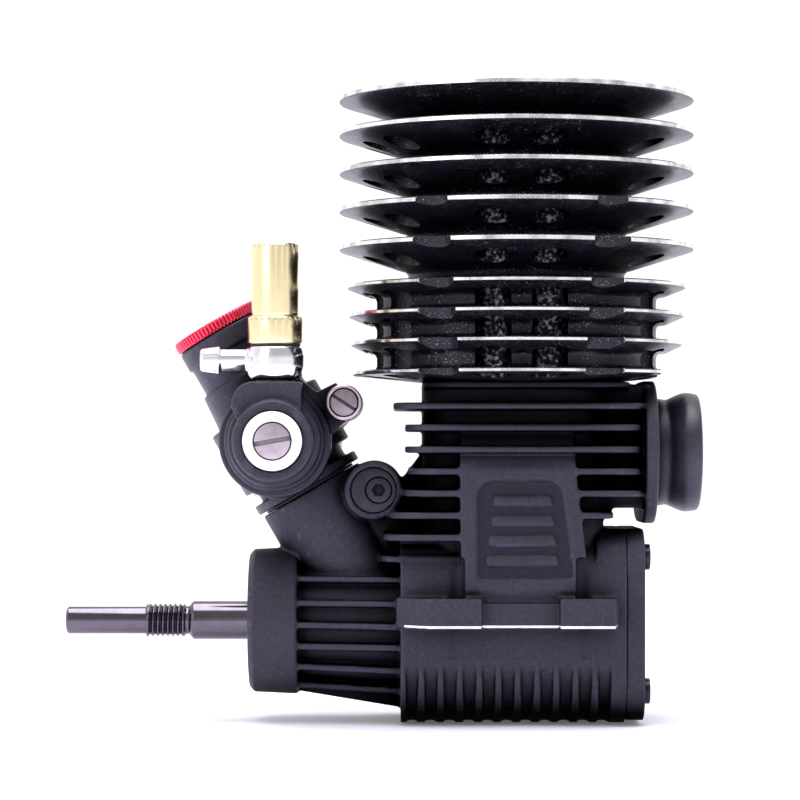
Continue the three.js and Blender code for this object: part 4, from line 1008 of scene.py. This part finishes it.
def make_carburettor_body():
    barrel = soft_bar("y", 10, -13, 11.2, 0.5, SLIDE_AT, FINE)
    front = lathed("y", [
        (0, -12), (8.9, -12), (8.9, -14.6), (8.1, -15), (8.1, -18.5), (7.1, -18.7), (7.1, -23.6), (0, -23.6),
    ], 0.35, SLIDE_AT, FINE)
    top = SEAT_Z - 0.1
    corner = [(-50.6, 38.4), (-50.45, 39.6), (-50.1, 40.8), (-49.5, 41.7), (-48.6, 42.4), (-47.3, top)]
    boss = plate("y", corner + [(-38.4, top), (-38.4, 34), (-48.4, 34)], -21.5, -10.5)
    tube = soft_bar("y", IDLE_TUBE_R, -16.2, 6, 0.25, IDLE_AT)
    web = plate("y", [
        (-40, 43.5), (-39, 43.7), (-35.9, 41.2), (-32.5, 42.9), (-28.9, 37.8), (-33.4, 33.6), (-36, 26),
        (-40, 26),
    ], -12, 5)
    body = joined(carburettor_neck(), barrel, front, boss, tube, web)
    cut(
        body,
        leaned(bar("z", 4.5, -20, 40, segments=MEDIUM)),
        leaned(bar("z", 7, 24, 40, segments=MEDIUM)),
        bar("y", 5.7, -9.3, 20, SLIDE_AT, MEDIUM),
        bar("y", 3.3, -30, -9, SLIDE_AT, MEDIUM),
        bar("y", 5.3, -30, -22.9, SLIDE_AT, MEDIUM),
        bar("z", 2.45, SEAT_Z - 6, 60, NEEDLE_AT, SMALL),
        bar("y", 1.55, -40, 40, IDLE_AT, SMALL),
        bar("y", IDLE_BORE_R, -40, -12.1, IDLE_AT, SMALL),
        bar("y", 4.2, -20, 20, RETAINER_AT, MEDIUM),
    )
    moulded(body, 0.2, 2, 0.6)
    surfaces = [COMPOSITE, SCREW_STEEL]
    piece(body, "carburettor_moulding", "carburettor_body", surfaces, smooth=False, finish=carburettor_finish)
    seal = leaned(ring("z", 8.9, 7.35, -0.55, -0.05, edge=0.2))
    piece(seal, "flange_seal", "carburettor_o_ring", RUBBER)


def make_intake_ring():
    teeth = 72

    def knurl(angle, h):
        return -0.3 * max(0.0, math.cos(angle * teeth)) ** 0.7 if 32.7 < h < 34.1 else 0.0

    crest = [(8.15, 32.45), (8.38, 32.72)] + [(8.38, 32.75 + 1.3 * k / 4) for k in range(5)] + [(8.15, 34.35)]
    path = [(6.7, 28)] + softened([(6.7, 28), (6.7, 25), (4.65, 24.4), (6.2, 34.4)], 0.2)[1:-1]
    path += [(6.35, 34.4)] + crest[::-1] + [(6.7, 32.42), (6.7, 28)]
    obj = turned("z", path, segments=teeth * 10, wobble=knurl)
    piece(leaned(obj), "intake_ring_knurled", "intake_ring", RED)


def make_retainer():
    screw_at = (RETAINER_X + 0.9, 0, RETAINER_Z)
    for side, name in ((-1, "near"), (1, "far")):
        plug = soft_bar("y", 4.1, side * 1.5, side * 11.4, 0.3, RETAINER_AT)
        screw_hole = bar("y", 1.5, -20, 20, screw_at, SMALL)
        head_seat = bar("y", 2.45, -20, -8.7, screw_at)
        cut(plug, screw_hole, head_seat, leaned(bar("z", 7.35, -16, 4)))
        piece(plug, f"retainer_plug_{name}", f"carburettor_retainer_{name}", BLACK_STEEL)
    screw = cap_screw("y", screw_at, 10.5, -8.75, -2.3, 1.42, 2.3, 1.2)
    piece(screw, "retainer_cap_screw", "retainer_screw", BLACK_STEEL)


def make_throttle():
    low, high = node_box("throttle_slide")
    arm_y = node_box("throttle_arm")[0].y
    arm_back, ball_y, ball_r = arm_y + 1.3, 22.7, 2.9
    ball_at = (SLIDE_X, 0, SLIDE_Z - 7.5)
    slide = lathed("y", [
        (0, low.y), (5.6, low.y), (5.6, arm_y - 0.05), (3, arm_y - 0.05), (3, high.y), (0, high.y),
    ], 0.2, SLIDE_AT)
    needle_bores = [bar("y", 1.8, -20, 8, SLIDE_AT, SMALL), bar("y", 2.2, 15, 30, SLIDE_AT, SMALL)]
    cut(slide, *needle_bores, bar("y", 0.7, 0, 30, SLIDE_AT, 16))
    piece(slide, "throttle_slide_turned", "throttle_slide", ALUMINIUM_Y, "throttle")
    disc = soft_bar("y", 11.3, arm_y, arm_back, 0.2, SLIDE_AT, FINE)
    lobe = soft_bar("y", 2.6, arm_y, arm_back, 0.2, IDLE_AT, SMALL)
    away = Vector((IDLE_X - SLIDE_X, IDLE_Z - SLIDE_Z))
    web = plate("y", [(8, -4.5), (away.length, -2.5), (away.length, 2.5), (8, 4.5)], arm_y, arm_back)
    slope = Matrix.Rotation(-math.atan2(away.y, away.x), 4, "Y")
    web.data.transform(Matrix.Translation(SLIDE_AT) @ slope)
    arm = joined(disc, lobe, web)
    cut(arm, bar("y", 3.03, 15, 22, SLIDE_AT), bar("y", 1.25, 15, 22, ball_at, SMALL))
    piece(arm, "throttle_arm_plate", "throttle_arm", PLATED, "throttle")
    turns = [math.radians(a) for a in range(30, 151, 10)]
    globe = [(ball_r * math.sin(a), ball_y - ball_r * math.cos(a)) for a in turns]
    stem = [(0, 16.8), (1.15, 16.8), (1.15, 19.3), (1.5, 19.4), (1.5, 20.1)]
    stud = turned("y", stem + globe + [(0, 25.3)], ball_at, SMALL)
    piece(stud, "throttle_ball", "throttle_ball_stud", PLATED, "throttle")
    needle = soft_bar("y", 2, 16, arm_y + 3.4, 0.25, SLIDE_AT, SMALL)
    cut(needle, block(SLIDE_X - 3, SLIDE_X + 3, arm_y + 2.6, 30, SLIDE_Z - 0.3, SLIDE_Z + 0.3))
    piece(needle, "low_speed_needle_screw", "low_speed_needle", BRASS, "low_speed_screw")


def make_dust_boot():
    folds = [
        (8.9, 11.25), (9.5, 11.9), (9.6, 12.6), (8.6, 13.3), (7.4, 13.9), (7.6, 14.6), (8.5, 15.1),
        (8.6, 15.6), (7.6, 16.2), (6.7, 16.6),
    ]
    boot = softened(folds + [(r - 0.85, y) for r, y in reversed(folds)] + [folds[0]], 0.25)
    boot[-1] = boot[0]
    piece(turned("y", boot, SLIDE_AT), "dust_boot_bellows", "dust_boot", RUBBER)


def make_adjusters():
    low = node_box("mid_needle_holder")[0].y
    holder = ring("y", 5.2, 3.4, low, low + 1.6, SLIDE_AT, FINE, 0.25)
    piece(holder, "nylon_holder", "mid_needle_holder", NYLON)
    face = node_box("mid_range_needle")[0].y
    needle = lathed("y", [
        (0, face), (3.2, face), (3.2, -14), (1.5, -14), (1.5, -1), (0.5, 3), (0, 3),
    ], 0.18, SLIDE_AT, FINE)
    cut(needle, slot_cutter(SLIDE_X, SLIDE_Z, 5, face, 0.9, 0.85, -10))
    piece(needle, "mid_needle_screw", "mid_range_needle", SCREW_STEEL, "mid_range_screw")
    face = node_box("idle_stop_screw")[0].y
    idle = lathed("y", [
        (0, face), (2.45, face), (2.45, face + 3.3), (1.35, face + 3.3), (1.35, 16.9), (0, 16.9),
    ], 0.18, IDLE_AT)
    cut(idle, slot_cutter(IDLE_X, IDLE_Z, 4, face, 0.8, 0.55, 33))
    piece(idle, "idle_screw_slotted", "idle_stop_screw", DULL_STEEL, "idle_screw")


def make_fuel_inlet():
    z = SEAT_Z
    spine = (0, NEEDLE_Y, z + 3.8)
    low, high = node_box("banjo_washer_lower")
    washer = ring("z", 3.4, 2.45, low.z, high.z, NEEDLE_AT, MEDIUM, 0.05)
    piece(washer, "lower_washer", "banjo_washer_lower", BRONZE)
    eye = turned("z", softened([
        (0, z + 0.25), (4.1, z + 0.25), (4.75, z + 0.9), (5.12, z + 2.4), (5.12, z + 4.6), (4.75, z + 5.9),
        (4.4, z + 6.25), (0, z + 6.25),
    ], 0.8, 6), NEEDLE_AT, FINE)
    nipple = lathed("x", [
        (0, -56.3), (1.75, -56.3), (2.0, -56.0), (2.45, -52.9), (1.93, -52.7), (1.93, -43), (0, -43),
    ], 0.12, spine)
    collar = turned("x", [(0, -48.2), (2.1, -48.1), (2.5, -47.4), (3.1, -46.6), (3.1, -43), (0, -43)], spine)
    banjo = joined(eye, nipple, collar)
    cut(banjo, bar("x", 1.1, -60, -43, spine, SMALL), bar("z", 2.45, z, z + 8, NEEDLE_AT, SMALL))
    moulded(banjo, 0.12, 1)
    piece(banjo, "banjo_plated", "fuel_inlet_banjo", CHROME, smooth=False)
    low, high = node_box("banjo_washer_upper")
    washer = ring("z", 4.45, 2.45, low.z, high.z, NEEDLE_AT, MEDIUM, 0.1)
    piece(washer, "upper_washer", "banjo_washer_upper", RUBBER)


def make_high_speed_needle():
    z, top = SEAT_Z, HOLDER_Z
    holder = lathed("z", [
        (0, z - 5.5), (2.3, z - 5.5), (2.3, top), (4.55, top), (4.85, top + 0.3), (4.85, top + 4.55),
        (4.6, top + 4.8), (4.32, top + 4.9), (4.05, top + 5.05), (4.14, top + 5.3), (4.14, top + 17.35),
        (3.8, top + 17.7), (3.3, top + 17.7), (3.3, top + 2), (0, top + 2),
    ], 0.1, NEEDLE_AT, FINE)
    notches = []
    for k in range(24):
        a = math.radians(15 * k + 4)
        for r, low_z, high_z in ((4.15, top + 17.1, top + 18), (4.86, top + 4.1, top + 5)):
            at = (NEEDLE_X + r * math.cos(a), NEEDLE_Y + r * math.sin(a), 0)
            notches.append(bar("z", 0.2, low_z, high_z, at, 10))
    needle_bore = bar("z", 1.35, z - 8, top + 5, NEEDLE_AT, SMALL)
    cross_bore = bar("x", 0.9, NEEDLE_X - 5, NEEDLE_X + 5, (0, NEEDLE_Y, z + 3.8), 24)
    cut(holder, needle_bore, cross_bore, *notches)
    piece(holder, "needle_holder_brass", "needle_valve_holder", BRASS)
    needle = lathed("z", [
        (0, z - 4), (0.6, z + 1), (1.15, z + 2.5), (1.15, top + 2.2), (3.05, top + 2.2), (3.05, top + 15.7),
        (0, top + 15.7),
    ], 0.2, NEEDLE_AT)
    slot = block(NEEDLE_X - 4, NEEDLE_X + 4, NEEDLE_Y - 0.35, NEEDLE_Y + 0.35, top + 14.6, top + 20)
    cut(needle, slot)
    piece(needle, "high_speed_needle_screw", "high_speed_needle", BRASS, "high_speed_screw")


make_crankcase()
make_rear_cover()
make_crankshaft()
make_bearings()
make_piston()
make_rod()
make_liner()
make_combustion_chamber()
make_cooling_head()
make_carburettor_body()
make_intake_ring()
make_retainer()
make_throttle()
make_dust_boot()
make_adjusters()
make_fuel_inlet()
make_high_speed_needle()


# ------------------------------------------------------------------ stage, light and camera
def make_floor():
    """A pale floor that glows more with distance, so that its far edge meets the white backdrop."""
    gap, half = 0.0002, 3.0
    z = CAD_BOX[0].z - gap
    corners = [(-half, -half, z), (half, -half, z), (half, half, z), (-half, half, z)]
    floor = mesh_object("studio_floor", corners, [(0, 1, 2, 3)])
    material, tree, shader = tree_of("pale_floor")
    mm = millimetres(tree)
    away = tree.nodes.new("ShaderNodeVectorMath")
    away.operation = "LENGTH"
    feed(away, {0: mm})
    metres_away = scaled(tree, away.outputs["Value"], 1 / TO_MM)
    feed(shader, {
        "Base Color": mixed(tree, noise(tree, mm, 0.02, 2.0), (0.83, 0.81, 0.94), (0.85, 0.83, 0.96)),
        "Roughness": 0.6,
        "Specular IOR Level": 0.2,
        # The emission is a painted glow: a little near the engine, where it lightens the shadow, and more far
        # off.
        "Emission Color": (1.0, 1.0, 1.0, 1.0),
        "Emission Strength": ramp(tree, metres_away, [(0.0, grey(0.08)), (0.8, grey(0.3))]),
    })
    floor.data.materials.append(material)


def make_world():
    """A white tent: dimmer in front above the horizon, brighter at the left, plain white to the camera."""
    world = bpy.data.worlds.new("studio")
    bpy.context.scene.world = world
    world.use_nodes = True
    tree = world.node_tree
    half, white = (0.5, 0.5, 0.5), (1.0, 1.0, 1.0)
    where = tree.nodes.new("ShaderNodeTexCoord").outputs["Generated"]
    split = tree.nodes.new("ShaderNodeSeparateXYZ")
    halved = add(tree, "ShaderNodeVectorMath", {0: where, 1: half, 2: half}, operation="MULTIPLY_ADD")
    feed(split, {0: halved})
    heights = [(0.0, grey(0.9)), (0.53, grey(0.88)), (0.63, grey(0.5)), (0.87, grey(0.46)), (0.97, grey(1.0))]
    front = ramp(tree, split.outputs["Z"], heights)
    left = ramp(tree, split.outputs["X"], [(0.18, grey(0.6)), (0.44, grey(0))])
    behind = ramp(tree, split.outputs["Y"], [(0.42, grey(0)), (0.66, grey(1))])
    tent = mixed(tree, behind, mixed(tree, left, front, white), white)
    camera_ray = tree.nodes.new("ShaderNodeLightPath").outputs["Is Camera Ray"]
    feed(tree.nodes["Background"], {"Color": mixed(tree, camera_ray, tent, white), "Strength": 1.12})


def area_light(name, at, target, size, power):
    data = bpy.data.lights.new(name, "AREA")
    data.shape, data.size, data.size_y = "RECTANGLE", size[0], size[1]
    data.energy = power
    lamp = bpy.data.objects.new(name, data)
    bpy.context.scene.collection.objects.link(lamp)
    lamp.location = at
    lamp.rotation_mode = "QUATERNION"
    lamp.rotation_quaternion = (Vector(target) - Vector(at)).to_track_quat("-Z", "Y")


def make_lights():
    low, high = CAD_BOX
    centre = (low + high) / 2
    area_light("top_soft", centre + Vector((-0.03, -0.02, 0.6)), centre, (0.7, 0.5), 6.5)
    area_light("left_soft", centre + Vector((-0.9, -0.9, 0.5)), centre, (0.8, 0.8), 3.0)


def make_camera():
    """Level with a point on the cylinder, a long lens, the frame raised a little above the lens axis."""
    data = bpy.data.cameras.new("camera")
    data.lens, data.sensor_width, data.shift_y = 135.0, 36.0, 0.0625
    camera = bpy.data.objects.new("camera", data)
    bpy.context.scene.collection.objects.link(camera)
    camera.location = ((CRANK_X - 21.1) / TO_MM, -0.545, 0.0309)
    camera.rotation_euler = (math.radians(90), 0, 0)
    data.clip_start, data.clip_end = 0.01, 50
    bpy.context.scene.camera = camera


make_floor()
make_world()
make_lights()
make_camera()
bpy.context.scene.view_settings.view_transform = "Standard"
